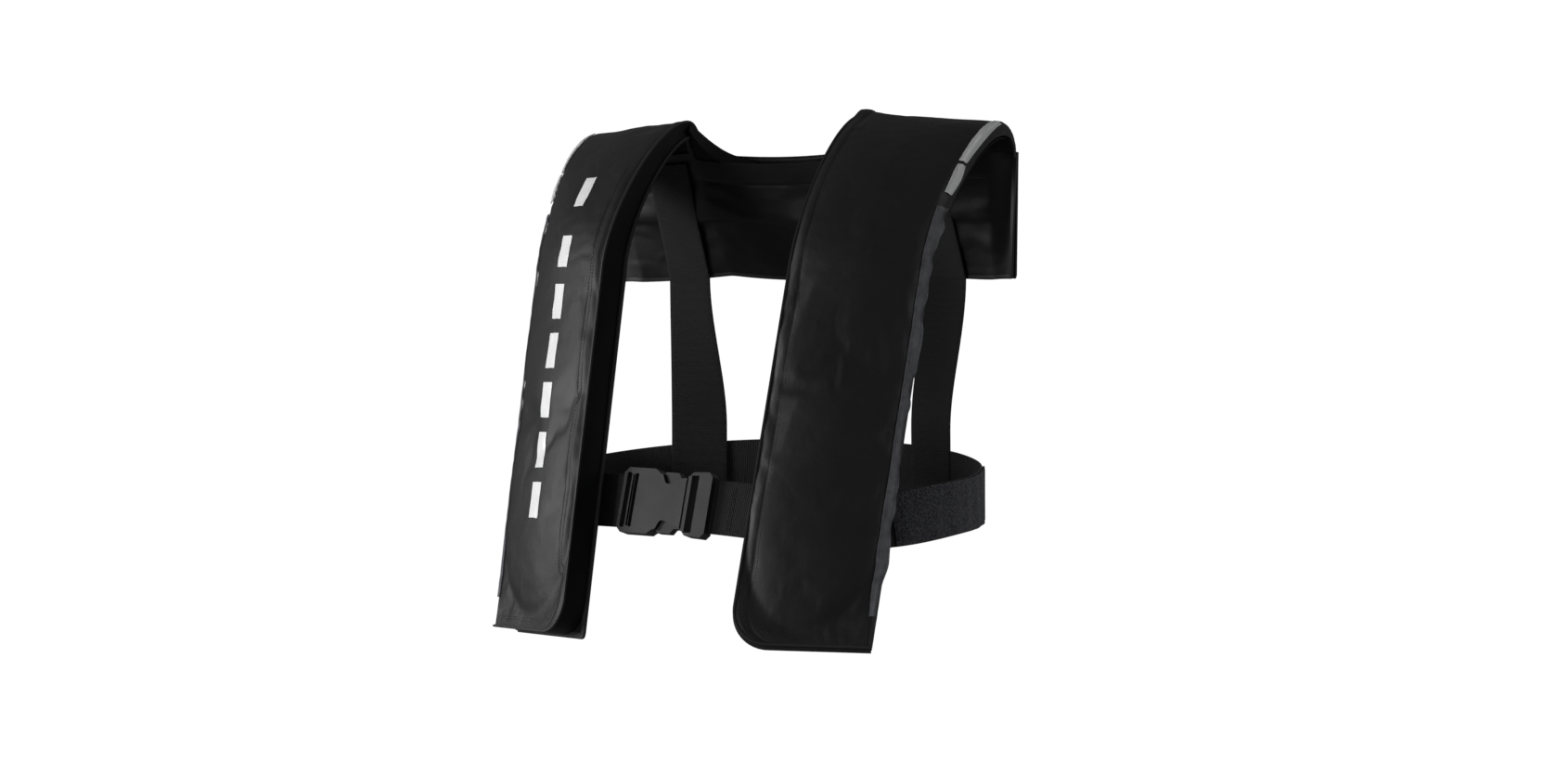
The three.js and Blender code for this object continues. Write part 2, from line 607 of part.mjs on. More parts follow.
function addLobe(side, place) {
  add(`backing_panel_${side}`, place(backingPanel(side)), LINING);
  add(`side_gusset_${side}`, place(gussetRibbon()), BLACK_CLOTH);
  add(`cover_flap_${side}`, place(coverFlap()), BLACK_CLOTH);
  add(`shoulder_cover_${side}`, place(shoulderCover()), BLACK_CLOTH);
  add(`hook_tape_${side}`, place(closureTape(BACK_TOP + GAP, HOOK_TOP)), TAPE);
  add(`loop_tape_${side}`, place(closureTape(HOOK_TOP + GAP, LOOP_TOP)), TAPE);
  add(`back_strap_${side}`, place(backStrap()), DARK_WEB);
}

addLobe('left', (g) => g);
addLobe('right', mirrored);
dashRows().forEach(([s0, s1], k) => add(`reflective_dash_${k + 1}`, mirrored(reflectiveDash(s0, s1)), SILVER));

add('yoke_cover', yokeSheet(-1, 1, 24, 0, 1, 4, -2.6, 0), BLACK_CLOTH);
add('yoke_lining', yokeSheet(-1, 1, 24, 0.02, 1, 4, -SHOULDER_DEPTH, 2.2 - SHOULDER_DEPTH), LINING);
add('yoke_rim', yokeRim(), BLACK_CLOTH);
// The gusset behind the neck ends just inside the lobes.
const GUSSET_REACH = (NAPE_INNER.x - 3.4) / NAPE_OUTER.x;
add('neck_gusset', yokeSheet(-GUSSET_REACH, GUSSET_REACH, 10, 0.012, 0.034, 1, -13.2, -3.2), BLACK_CLOTH);
add('bladder', bladder(), BLADDER);

// The fixed webbing runs from the buckle's female half round the back to the slider at the wearer's left.
const BUCKLE_ANGLE = frontAngle(-10);
const RIGHT_END = frontAngle(-10 + FEMALE_LEFT - 1);
const LEFT_END = frontAngle(103);
const SLIDER_ANGLE = frontAngle(103);
const MALE_END = frontAngle(-10 + MALE_RIGHT + 1.2);
add('waist_belt', beltRibbon(LEFT_END, RIGHT_END + 360, 56, -WEB_THICK / 2, WEB_THICK / 2), DARK_WEB);
add('front_strap', beltRibbon(MALE_END, LEFT_END - 0.5, 8, -WEB_THICK / 2, WEB_THICK / 2), DARK_WEB);
add('velour_face', beltRibbon(-34, 22, 14, WEB_THICK / 2 + 0.35, WEB_THICK / 2 + 1.7, WEB_WIDTH / 2 - 1), TAPE);
add('belt_slider', atBelt(beltSlider(), SLIDER_ANGLE), PLASTIC);
add('belt_keeper_left', beltKeeper(117.5), DARK_WEB);
add('belt_keeper_right', mirrored(beltKeeper(131.6)), DARK_WEB);
add('buckle_female', atBelt(buckleFemale(), BUCKLE_ANGLE), PLASTIC);
add('buckle_male', atBelt(buckleMale(), BUCKLE_ANGLE), PLASTIC);
add('buckle_arm_upper', atBelt(buckleArm(), BUCKLE_ANGLE), PLASTIC);
add('buckle_arm_lower', atBelt(mapped(buckleArm(), (x, y, z) => V(x, y, -z)), BUCKLE_ANGLE), PLASTIC);

const atInflator = (g) => inLobe(g, INFLATOR_U, INFLATOR_HEIGHT, INFLATOR_N);
add('inflator_body', atInflator(inflatorBody()), RED_PLASTIC);
add('inflator_flange', atInflator(rod(17, BODY_BACK - 3.4, BODY_BACK - GAP, 28).rotateX(Math.PI / 2)), PLASTIC);
add('gas_cylinder', atInflator(gasCylinder()), STEEL);
add('piercing_pin', atInflator(rod(2.6, -12, 3, 12)), STEEL);
add('inflator_lever', atInflator(lever()), RED_PLASTIC);
add('pull_strap', atInflator(block(-18, -4, -72, -22, -0.8, 0.8)), DARK_WEB);
add('pull_handle', atInflator(pullHandle().translate(-11, -94.4, 0)), RED_PLASTIC);

const atTube = (g) => mirrored(inLobe(g, TUBE_U, TUBE_FOOT, TUBE_N));
add('oral_tube', atTube(oralTube()), PLASTIC);
add('valve_poppet', atTube(turned([[0, TUBE_LENGTH - 13], [3.5, TUBE_LENGTH - 13], [3.5, TUBE_LENGTH - 1],
  [0, TUBE_LENGTH - 1]], 12)), STEEL);
add('tube_cap', atTube(tubeCap()), PLASTIC);
add('whistle_clip', atTube(whistleClip()), PLASTIC);
add('whistle', atTube(whistle().translate(-13.4, 36.4, -5)), RED_PLASTIC);

const lifeJacket = new THREE.Group();
lifeJacket.add(jacket);
export default lifeJacket;
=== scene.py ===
import math

import bmesh
import bpy
import numpy as np
from mathutils import Matrix, Vector


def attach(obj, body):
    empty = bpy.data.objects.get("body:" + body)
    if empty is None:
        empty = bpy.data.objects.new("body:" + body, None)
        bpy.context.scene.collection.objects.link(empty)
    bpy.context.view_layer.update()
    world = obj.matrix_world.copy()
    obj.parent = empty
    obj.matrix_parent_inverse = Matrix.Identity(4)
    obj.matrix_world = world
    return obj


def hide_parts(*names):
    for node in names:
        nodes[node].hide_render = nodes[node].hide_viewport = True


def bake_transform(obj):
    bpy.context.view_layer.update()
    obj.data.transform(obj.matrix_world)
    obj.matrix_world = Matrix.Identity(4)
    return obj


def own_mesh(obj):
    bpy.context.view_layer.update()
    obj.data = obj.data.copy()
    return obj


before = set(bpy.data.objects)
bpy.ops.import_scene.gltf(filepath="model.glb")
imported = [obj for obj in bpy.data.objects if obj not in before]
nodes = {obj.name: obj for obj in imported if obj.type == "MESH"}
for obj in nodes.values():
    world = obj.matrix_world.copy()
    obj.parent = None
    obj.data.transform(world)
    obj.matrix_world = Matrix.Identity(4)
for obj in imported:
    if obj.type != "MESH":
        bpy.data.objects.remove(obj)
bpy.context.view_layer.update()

# ---- lobe covers -------------------------------------------------------------------------------
# Each lobe is a long pocket of black coated nylon, sewn down its inner edge and closed down its
# outer edge. The cloth lies over the rolled bladder, bends back over the shoulder and ends at the
# nape. It is cut a little large, so it creases along the seam and puckers at the closure.

LOBE_WIDTH = 127.0
LOBE_LENGTH = 347.0
LOBE_DEPTH = 26.0
SHOULDER_DEPTH = 16.0
FACE_EDGE = -3.1
CORNER_RADIUS = 34.0
ROLL_HEIGHT = 10.0


def unit(x, y, z):
    """The direction (x, y, z) with a length of one."""
    v = np.array([x, y, z], float)
    return v / np.linalg.norm(v)


UP_LOBE = unit(0.035, 0.29, 1)
ACROSS_LOBE = unit(0.893, 0.44, -0.035)
LOBE_FOOT = np.array([89.3, -263.7, -454.0])
RIDGE_INNER = np.array([97.0, -17.0, 19.0])
RIDGE_OUTER = RIDGE_INNER + unit(0.964, 0.258, -0.066) * (LOBE_WIDTH + 9)
NAPE_INNER = RIDGE_INNER + (-2, 25, -31)
NAPE_OUTER = RIDGE_OUTER + (1, 25, -29)


def smooth(x, low, high):
    """Eases from 0 at low to 1 at high."""
    t = np.clip((x - low) / (high - low), 0, 1)
    return t * t * (3 - 2 * t)


def edge_line(foot, ridge, nape, slope):
    """A lobe's edge: s 0 to 1 up the chest, 1 to 2 over the ridge, 2 to 3 down to the nape."""
    top = foot + UP_LOBE * LOBE_LENGTH
    down = unit(0, slope, -1)
    rise = (top, top + UP_LOBE * 60, ridge + (0, -50, 0), ridge)
    fall = (ridge, ridge + (0, 16, 0), nape - down * 16, nape)

    def curve(corners, t):
        a, b, c, d = corners
        return a * (1 - t) ** 3 + 3 * b * t * (1 - t) ** 2 + 3 * c * t * t * (1 - t) + d * t ** 3

    def at(s):
        s = np.asarray(s, float)[..., None]
        straight = foot + (top - foot) * s
        over = curve(rise, np.clip(s - 1, 0, 1))
        behind = curve(fall, np.clip(s - 2, 0, 1))
        below = nape + down * (s - 3) * 40
        return np.where(s <= 1, straight, np.where(s <= 2, over, np.where(s <= 3, behind, below)))

    return at


inner_edge = edge_line(LOBE_FOOT, RIDGE_INNER, NAPE_INNER, 0.45)
outer_edge = edge_line(LOBE_FOOT + ACROSS_LOBE * LOBE_WIDTH, RIDGE_OUTER, NAPE_OUTER, 0.1)


def lobe_point(u, s, n):
    """A point of the left lobe: u across from the inner seam, s along it, n out of its face."""
    thinned = (SHOULDER_DEPTH + FACE_EDGE) / (LOBE_DEPTH + FACE_EDGE)
    squeeze = 1 + (thinned - 1) * np.clip(s - 1, 0, 1)
    n = np.where(n > FACE_EDGE, n, FACE_EDGE + (n - FACE_EDGE) * squeeze)
    share = (u / LOBE_WIDTH)[..., None]
    middle = inner_edge(s) * (1 - share) + outer_edge(s) * share
    low = np.maximum(s - 0.01, 0)
    ahead = inner_edge(s + 0.01) * (1 - share) + outer_edge(s + 0.01) * share
    behind = inner_edge(low) * (1 - share) + outer_edge(low) * share
    normal = np.cross(outer_edge(s) - inner_edge(s), ahead - behind)
    normal /= np.linalg.norm(normal, axis=-1, keepdims=True)
    return middle + normal * n[..., None]


def corner_inset(s):
    """How far the round foot corner draws the inner edge in at s."""
    height = np.minimum(s * LOBE_LENGTH, CORNER_RADIUS)
    return CORNER_RADIUS - np.sqrt(CORNER_RADIUS ** 2 - (CORNER_RADIUS - height) ** 2)


def ripple(x, y, seed, length, waves=26):
    """Even random waves of about one length, from -1 to 1 or so."""
    pick = np.random.default_rng(seed)
    total = np.zeros_like(x)
    for _ in range(waves):
        turn = pick.uniform(0, 2 * math.pi)
        pitch = 2 * math.pi / (length * pick.uniform(0.65, 1.6))
        total += np.sin((x * math.cos(turn) + y * math.sin(turn)) * pitch + pick.uniform(0, 6.28))
    return total / math.sqrt(waves / 2)


def cloth_grid(name, columns, rows, place, size):
    """A grid of cloth put in place by its own corner map, which is then given its real size."""
    bpy.ops.object.select_all(action="DESELECT")
    bpy.ops.mesh.primitive_grid_add(x_subdivisions=columns, y_subdivisions=rows, size=2)
    piece = bpy.context.object
    piece.name = piece.data.name = name
    flat = np.empty(len(piece.data.vertices) * 3)
    piece.data.vertices.foreach_get("co", flat)
    flat = flat.reshape(-1, 3)
    set_points(piece, place((flat[:, 0] + 1) / 2, (flat[:, 1] + 1) / 2) * 0.001)
    corner_map = piece.data.uv_layers.active
    corners = np.empty(len(corner_map.data) * 2)
    corner_map.data.foreach_get("uv", corners)
    corner_map.data.foreach_set("uv", (corners.reshape(-1, 2) * size).ravel())
    return piece


def set_points(piece, points):
    """Moves the piece's corners to points, in metres."""
    piece.data.vertices.foreach_set("co", np.asarray(points, float).ravel())
    piece.data.update()


def get_points(mesh):
    """The mesh's corners as rows of x, y, z in metres."""
    points = np.empty(len(mesh.vertices) * 3)
    mesh.vertices.foreach_get("co", points)
    return points.reshape(-1, 3)


def finished(piece, *modifiers):
    """Adds each modifier with its settings, applies it and smooths the piece."""
    bpy.ops.object.select_all(action="DESELECT")
    piece.select_set(True)
    bpy.context.view_layer.objects.active = piece
    for kind, settings in modifiers:
        modifier = piece.modifiers.new(kind.title(), kind)
        for key, value in settings.items():
            setattr(modifier, key, value)
        bpy.ops.object.modifier_apply(modifier=modifier.name)
    bpy.ops.object.shade_smooth_by_angle(angle=math.radians(42))
    return piece


def settle(piece, held, slack, pressure, frames, most):
    """Lets cloth that is a little too large crease between its sewn edges."""
    sewn = piece.vertex_groups.new(name="sewn")
    sewn.add([int(k) for k in held], 1.0, "REPLACE")
    before = get_points(piece.data)
    cloth = piece.modifiers.new("Cloth", "CLOTH")
    cloth.settings.quality = 6
    cloth.settings.mass = 0.2
    cloth.settings.tension_stiffness = 30
    cloth.settings.compression_stiffness = 30
    cloth.settings.shear_stiffness = 12
    cloth.settings.bending_stiffness = 1.4
    cloth.settings.vertex_group_mass = "sewn"
    cloth.settings.shrink_min = -slack
    cloth.settings.use_pressure = True
    cloth.settings.uniform_pressure_force = pressure
    cloth.settings.effector_weights.gravity = 0
    cloth.point_cache.frame_start = 1
    cloth.point_cache.frame_end = frames
    for step in range(1, frames + 1):
        bpy.context.scene.frame_set(step)
    seen = piece.evaluated_get(bpy.context.evaluated_depsgraph_get())
    moved = get_points(seen.data) - before
    piece.modifiers.remove(cloth)
    piece.vertex_groups.remove(sewn)
    bpy.context.scene.frame_set(1)
    reach = np.linalg.norm(moved, axis=1, keepdims=True)
    set_points(piece, before + moved * np.minimum(1, most / np.maximum(reach, 1e-9)))


def hex_colour(code):
    """A colour as written on a paint chart, in the light's own units."""
    parts = [int(code[k:k + 2], 16) / 255 for k in (0, 2, 4)]
    return [c / 12.92 if c <= 0.04045 else ((c + 0.055) / 1.055) ** 2.4 for c in parts] + [1]


def new_material(name, roughness, **sockets):
    """A fresh material with its node tree and its surface shader."""
    material = bpy.data.materials.new(name)
    material.use_nodes = True
    shader = material.node_tree.nodes["Principled BSDF"]
    shader.inputs["Roughness"].default_value = roughness
    for key, value in sockets.items():
        shader.inputs[key.replace("_", " ")].default_value = value
    return material, material.node_tree, shader


def node(tree, kind, inputs=None, **settings):
    """Adds a shader node and sets or links each of its inputs."""
    made = tree.nodes.new(kind)
    for key, value in settings.items():
        setattr(made, key, value)
    for key, value in (inputs or {}).items():
        if isinstance(value, bpy.types.NodeSocket):
            tree.links.new(value, made.inputs[key])
        else:
            made.inputs[key].default_value = value
    return made


def calc(tree, operation, a, b=0.0, c=0.0):
    return node(tree, "ShaderNodeMath", {0: a, 1: b, 2: c}, operation=operation).outputs[0]


def mottle(tree, place, scale, detail=3.0):
    """Cloudy shade from 0 to 1."""
    noise = node(tree, "ShaderNodeTexNoise", {"Vector": place, "Scale": scale, "Detail": detail})
    return noise.outputs["Fac"]


def tint(tree, shader, factor, dark, light):
    """The base colour runs from dark to light with factor."""
    mix = node(tree, "ShaderNodeMix", {0: factor}, data_type="RGBA")
    mix.inputs[6].default_value = hex_colour(dark)
    mix.inputs[7].default_value = hex_colour(light)
    tree.links.new(mix.outputs[2], shader.inputs["Base Color"])


def relief(tree, shader, height, depth, strength=1.0):
    """Raises the surface with height, by depth metres at most."""
    bump = node(tree, "ShaderNodeBump", {"Height": height, "Distance": depth, "Strength": strength})
    tree.links.new(bump.outputs[0], shader.inputs["Normal"])


def plain_weave(tree, warp, weft):
    """Threads over and under each other, warp and weft apart in metres, on the corner map."""
    where = node(tree, "ShaderNodeUVMap").outputs["UV"]
    axes = node(tree, "ShaderNodeSeparateXYZ", {0: where})
    x = calc(tree, "SINE", calc(tree, "MULTIPLY", axes.outputs[0], 2 * math.pi / warp))
    y = calc(tree, "SINE", calc(tree, "MULTIPLY", axes.outputs[1], 2 * math.pi / weft))
    return calc(tree, "MULTIPLY", x, y)


def coated_nylon(name, dark, light, roughness, shine=0.3):
    """Close nylon weave with a thin proofed coat: soft shine, faint creases, dull rubbed patches."""
    material, tree, shader = new_material(name, roughness, Specular_IOR_Level=shine)
    weave = plain_weave(tree, 0.0011, 0.0011)
    place = node(tree, "ShaderNodeTexCoord").outputs["Object"]
    patches = mottle(tree, place, 22.0)
    creases = mottle(tree, place, 120.0, 6.0)
    tint(tree, shader, patches, dark, light)
    worn = calc(tree, "MULTIPLY_ADD", patches, 0.22, roughness - 0.1)
    tree.links.new(worn, shader.inputs["Roughness"])
    height = calc(tree, "ADD", calc(tree, "MULTIPLY", weave, 0.1), calc(tree, "MULTIPLY", creases, 0.8))
    relief(tree, shader, height, 0.0006, 0.55)
    return material


black_nylon = coated_nylon("black_nylon", "101012", "19191b", 0.5, 0.42)
side_nylon = coated_nylon("side_nylon", "0a0a0b", "111113", 0.6, 0.2)


def wear(piece, material):
    """Dresses the piece in one material."""
    piece.data.materials.clear()
    piece.data.materials.append(material)


COVER_LENGTH = 560.0
COVER_DEPTH = 20.0
BEND = 5.0


def cover_section(d):
    """Across the face, round the outer edge and back down the side: (u, n) at d millimetres."""
    flat_part = LOBE_WIDTH - BEND
    turn = np.clip((d - flat_part) / BEND, 0, math.pi / 2)
    down = np.maximum(d - flat_part - BEND * math.pi / 2, 0)
    u = np.minimum(d, flat_part) + BEND * np.sin(turn)
    return u, -BEND * (1 - np.cos(turn)) - down


def roll_rise(u, s):
    """How far the rolled bladder lifts the face: a long bulge with a round lower end."""
    off = ((u - 62) / 60) ** 2 + (np.maximum(104 - s * LOBE_LENGTH, 0) / 88) ** 2
    bulge = np.clip(1 - off, 0, 1) ** 0.75
    return ROLL_HEIGHT * bulge * (1 - 0.9 * smooth(s, 1.1, 2.05))


def handed(points, side):
    """The left lobe's points as they are, or mirrored for the right lobe."""
    return points * (1 if side == "left" else -1, 1, 1)


def ride_with_cover(piece):
    """Bakes the piece's placement into its mesh; the piece is attached to no body."""
    ends = lobe_point(np.array([60.0, 60.0]), np.array([0.8, 1.03]), np.zeros(2)) * 0.001
    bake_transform(piece)


PINCH = {"left": -2.4, "right": 0.0}
PEAK = {"left": 6.0, "right": 0.0}
RIDGE_AT = 1.99
HEM_AT = 11.5


def lobe_cover(side):
    """One cover: a grid laid over the bladder with its dents, folds and puckers, then settled."""
    width = LOBE_WIDTH - BEND + BEND * math.pi / 2 + COVER_DEPTH - BEND
    seed = 4 if side == "left" else 17

    def place(p, q):
        d = (p if side == "left" else 1 - p) * width
        s = 0.004 + q * 3.066
        u, n = cover_section(d)
        along = s * LOBE_LENGTH
        u = u + corner_inset(s) * (1 - u / LOBE_WIDTH)
        free = smooth(d, 2, 16) * (1 - smooth(d, 118, 130)) * smooth(along, 4, 30)
        dents = ripple(u * 0.9, along * 0.6, seed, 70) * 0.45 + ripple(u, along, seed + 1, 24) * 0.1
        folds = -0.35 * np.clip(1 - np.abs(ripple(u * 0.8, along * 0.9, seed + 2, 66)) * 3, 0, 1) ** 2
        wavelets = np.sin(along / 2.7 + 2 * ripple(along, u * 0, seed + 3, 40))
        pucker = 0.35 * wavelets * np.exp(-((d - 124) / 7) ** 2)
        pinch = PINCH[side] * np.exp(-((along - 232 - 0.12 * (u - 34)) / 3.2) ** 2 - ((u - 34) / 11) ** 2)
        hem = 0.55 * (1 - smooth(d, HEM_AT - 2.5, HEM_AT)) - 0.5 * np.exp(-((d - HEM_AT) / 1.8) ** 2)
        lift = roll_rise(u, s) * smooth(d, 0, 6) + (dents + folds) * free + pucker * smooth(along, 10, 40)
        peak = PEAK[side] * np.exp(-((s - RIDGE_AT) / 0.09) ** 2 - (u / 22) ** 2)
        lift = lift + pinch + peak + hem * smooth(d, 0.5, 4)
        points = lobe_point(u, s, np.where(d < LOBE_WIDTH + 1, n + lift, n))
        return handed(points, side)

    cover = cloth_grid(f"cover_{side}", 72, 200, place, (width * 0.001, COVER_LENGTH * 0.001))
    edge = bmesh.new()
    edge.from_mesh(cover.data)
    held = [v.index for v in edge.verts if v.is_boundary]
    edge.free()
    settle(cover, held, 0.004, 0.2, 14, 0.0013)
    finished(cover, ("SUBSURF", {"levels": 1, "render_levels": 1}),
             ("SOLIDIFY", {"thickness": 0.0011, "offset": -1}))
    wear(cover, black_nylon)
    ride_with_cover(cover)
    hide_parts(f"cover_flap_{side}", f"shoulder_cover_{side}")


for side in ("left", "right"):
    lobe_cover(side)

# ---- side walls, backing panels and bindings ---------------------------------------------------
# A dull nylon wall runs down the inner edge, round the corner and along the foot of each lobe. Its
# front edge is piped to the cover and its back edge is taped to a flat panel that lies on the chest.

lining_cloth = coated_nylon("lining_cloth", "09090a", "101011", 0.6, 0.2)
# The binding tape is tinted lighter than the cloth as a painted highlight: the thin bright line along each
# binding, piping and hem.
highlit_binding_tape = coated_nylon("highlit_binding_tape", "1c1c1f", "2a2a2d", 0.5, 0.4)


PANEL_TOP = 2.95
PANEL_LEVEL = -24.6
CORNER_FROM, CORNER_TO = 0.8, 0.88
WALL_FRONT, WALL_DEPTH = -0.6, 23.0


def wall_line(t, inset):
    """(u, s) of the wall at t: 0 at the nape, 1 at the outer end of the foot."""
    radius = CORNER_RADIUS - inset
    straight = PANEL_TOP - CORNER_RADIUS / LOBE_LENGTH
    turn = np.clip((t - CORNER_FROM) / (CORNER_TO - CORNER_FROM), 0, 1) * math.pi / 2
    foot = np.clip((t - CORNER_TO) / (1 - CORNER_TO), 0, 1) * (LOBE_WIDTH - CORNER_RADIUS - 1)
    s = PANEL_TOP - np.clip(t / CORNER_FROM, 0, 1) * straight
    u = np.where(t < CORNER_FROM, inset, CORNER_RADIUS - radius * np.cos(turn)) + foot
    return u, np.where(t < CORNER_FROM, s, (CORNER_RADIUS - radius * np.sin(turn)) / LOBE_LENGTH)


def tape_along(name, points, facings, half_width, half_thick, sides=8):
    """A rounded tape whose flat lies along facings and whose middle follows points, in metres."""
    count = len(points)
    forward = np.gradient(points, axis=0)
    forward /= np.linalg.norm(forward, axis=1, keepdims=True)
    out = facings - forward * np.sum(facings * forward, axis=1, keepdims=True)
    out /= np.linalg.norm(out, axis=1, keepdims=True)
    aside = np.cross(forward, out)

    def place(p, q):
        k = np.rint(q * (count - 1)).astype(int)
        turn = 2 * math.pi * p
        wide = np.sign(np.cos(turn)) * np.abs(np.cos(turn)) ** 0.6 * half_width
        thick = np.sign(np.sin(turn)) * np.abs(np.sin(turn)) ** 0.6 * half_thick
        return (points[k] + aside[k] * wide[:, None] + out[k] * thick[:, None]) * 1000

    length = float(np.sum(np.linalg.norm(np.diff(points, axis=0), axis=1)))
    tape = cloth_grid(name, sides, count - 1, place, (half_width * 4, length))
    closed_tube(tape)
    return finished(tape)


def closed_tube(piece):
    """Joins the tube's seam, caps its two ends and turns its faces outwards."""
    mesh = bmesh.new()
    mesh.from_mesh(piece.data)
    bmesh.ops.remove_doubles(mesh, verts=mesh.verts, dist=1e-6)
    bmesh.ops.holes_fill(mesh, edges=[e for e in mesh.edges if e.is_boundary], sides=0)
    bmesh.ops.recalc_face_normals(mesh, faces=mesh.faces)
    mesh.to_mesh(piece.data)
    mesh.free()


def lobe_facing(u, s):
    """The direction out of the lobe's face."""
    return lobe_point(u, s, np.ones_like(u)) - lobe_point(u, s, np.zeros_like(u))


def stitch_row(name, points, facings, pitch=0.0031, reach=0.0023, thick=0.00032):
    """A line of lockstitches: one short thread, modelled once and copied along the row."""
    steps = np.linalg.norm(np.diff(points, axis=0), axis=1)
    run = np.concatenate([[0], np.cumsum(steps)])
    marks = np.arange(pitch, run[-1] - pitch, pitch)
    middle = np.stack([np.interp(marks, run, points[:, k]) for k in range(3)], axis=1)
    after = np.stack([np.interp(marks + pitch / 4, run, points[:, k]) for k in range(3)], axis=1)
    out = np.stack([np.interp(marks, run, facings[:, k]) for k in range(3)], axis=1)
    forward = after - middle
    forward /= np.linalg.norm(forward, axis=1, keepdims=True)
    out /= np.linalg.norm(out, axis=1, keepdims=True)
    aside = np.cross(out, forward)
    bpy.ops.object.select_all(action="DESELECT")
    bpy.ops.mesh.primitive_uv_sphere_add(segments=6, ring_count=5, radius=1)
    row = bpy.context.object
    row.name = row.data.name = name
    one = get_points(row.data)
    stitch = bmesh.new()
    stitch.from_mesh(row.data)
    faces = [[v.index for v in f.verts] for f in stitch.faces]
    stitch.clear()
    for k in range(len(marks)):
        places = (middle[k] + one[:, 2:] * forward[k] * reach / 2 + one[:, :1] * aside[k] * thick
                  + one[:, 1:2] * out[k] * thick)
        corners = [stitch.verts.new(v) for v in places]
        for face in faces:
            stitch.faces.new([corners[c] for c in face])
    bmesh.ops.recalc_face_normals(stitch, faces=stitch.faces)
    stitch.to_mesh(row.data)
    stitch.free()
    bpy.ops.object.shade_smooth()
    return row


def thread():
    """Bonded polyester thread, a little lighter than the cloth."""
    material, tree, shader = new_material("thread", 0.5)
    place = node(tree, "ShaderNodeTexCoord").outputs["Object"]
    tint(tree, shader, mottle(tree, place, 900.0), "1b1b1e", "2c2c30")
    return material


black_thread = thread()


def lobe_sides(side):
    """The sewn wall, its piping, the panel behind the lobe and the panel's binding."""
    steps = np.linspace(0, 1, 330)

    def wall_place(p, q):
        front = p if side == "left" else 1 - p
        u, s = wall_line(q, 0.5)
        ease = 1.4 * ripple(q * 560, front * 9, 31, 34) * np.sin(front * math.pi)
        inward = np.where(s > 0.1, ease * 0.5, 0)
        return handed(lobe_point(u + inward, s, WALL_FRONT - WALL_DEPTH * (1 - front)), side)

    wall = cloth_grid(f"side_wall_{side}", 8, 329, wall_place, (WALL_DEPTH * 0.001, 0.66))
    finished(wall, ("SOLIDIFY", {"thickness": 0.0012, "offset": 1}))
    flip_out(wall)
    wear(wall, side_nylon)
    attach(wall, "jacket")
    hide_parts(f"side_gusset_{side}")

    u, s = wall_line(steps, 0.2)
    line = lobe_point(u, s, np.full_like(u, 0.1)) * 0.001
    facing = handed(lobe_facing(u, s), side)
    piping = tape_along(f"cover_piping_{side}", handed(line, side), facing, 0.0012, 0.0012)
    wear(piping, highlit_binding_tape)
    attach(piping, "jacket")

    def panel_place(p, q):
        u = (p if side == "left" else 1 - p) * (LOBE_WIDTH - 1) + 0.5
        s = q * PANEL_TOP
        if side == "left":
            u = u + corner_inset(s) * (1 - u / LOBE_WIDTH)
        return handed(lobe_point(u, s, PANEL_LEVEL + 0.35 * ripple(u, s * LOBE_LENGTH, 51, 40)), side)

    size = (LOBE_WIDTH * 0.001, COVER_LENGTH * 0.001)
    panel = cloth_grid(f"chest_panel_{side}", 24, 150, panel_place, size)
    finished(panel, ("SOLIDIFY", {"thickness": 0.0014, "offset": 0}))
    wear(panel, lining_cloth)
    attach(panel, "jacket")
    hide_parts(f"backing_panel_{side}")

    t = np.linspace(0, 1, 260)
    u = np.interp(t, [0, 0.6, 0.62, 1], [0.6, 0.6, 1.2, LOBE_WIDTH - 6])
    s = np.interp(t, [0, 0.6, 0.62, 1], [2.94, 0.012, 0.004, 0.004])
    if side == "left":
        u, s = wall_line(np.linspace(0.004, 1, 260), 0.5)
    rim = lobe_point(u, s, np.full_like(u, PANEL_LEVEL)) * 0.001
    out = lobe_point(u, s, np.full_like(u, PANEL_LEVEL + 1)) * 0.001 - rim
    binding = tape_along(f"panel_binding_{side}", handed(rim, side), handed(out, side), 0.0032, 0.0017)
    wear(binding, highlit_binding_tape)
    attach(binding, "jacket")


def flip_out(piece):
    """Turns a closed piece's faces outwards."""
    mesh = bmesh.new()
    mesh.from_mesh(piece.data)
    bmesh.ops.recalc_face_normals(mesh, faces=mesh.faces)
    mesh.to_mesh(piece.data)
    mesh.free()


for side in ("left", "right"):
    lobe_sides(side)

# ---- yoke behind the neck ----------------------------------------------------------------------
# The back of the jacket is a flat bag of nylon that holds the rest of the bladder. Its lining faces
# the wearer and hangs in soft level folds, its neckline is scooped and bound, and its hem is taped.

YOKE_HEIGHT = 110.0
YOKE_LEAN = 63.4
YOKE_SIDE_LEAN = 10.25
OUTSIDE_LEVEL = -1.2
LINING_LEVEL = -14.6
THINNED_BY = 9.5
SEAM_LEVEL = 0.012
WEB_FROM, WEB_TO = 0.4117, 0.14


def yoke_point(a, v, n):
    """A point of the yoke: a from -1 to 1 across, v from the neckline to the hem, n outwards."""
    def at(p, q):
        x = np.abs(p) * NAPE_OUTER[0]
        share = np.clip((x - NAPE_INNER[0]) / (NAPE_OUTER[0] - NAPE_INNER[0]), 0, 1)
        top = NAPE_INNER + (NAPE_OUTER - NAPE_INNER) * share[..., None]
        scoop = np.minimum(x / NAPE_INNER[0], 1) ** 2
        inside = x < NAPE_INNER[0]
        y = np.where(inside, NAPE_INNER[1] + 2 - 2 * scoop, top[..., 1])
        z = np.where(inside, NAPE_INNER[2] - 6 + 6 * scoop, top[..., 2])
        lean = YOKE_LEAN + (YOKE_SIDE_LEAN - YOKE_LEAN) * np.abs(p) ** 4
        drop = (YOKE_HEIGHT + 6 * p * p) * q
        return np.stack([np.sign(p) * x * (1 - 0.03 * q), y + lean * q, z - drop], axis=-1)

    across = at(a + 0.01, v) - at(a - 0.01, v)
    down = at(a, v + 0.01) - at(a, v - 0.01)
    facing = np.cross(across, down)
    facing /= np.linalg.norm(facing, axis=-1, keepdims=True)
    return at(a, v) + facing * n[..., None]


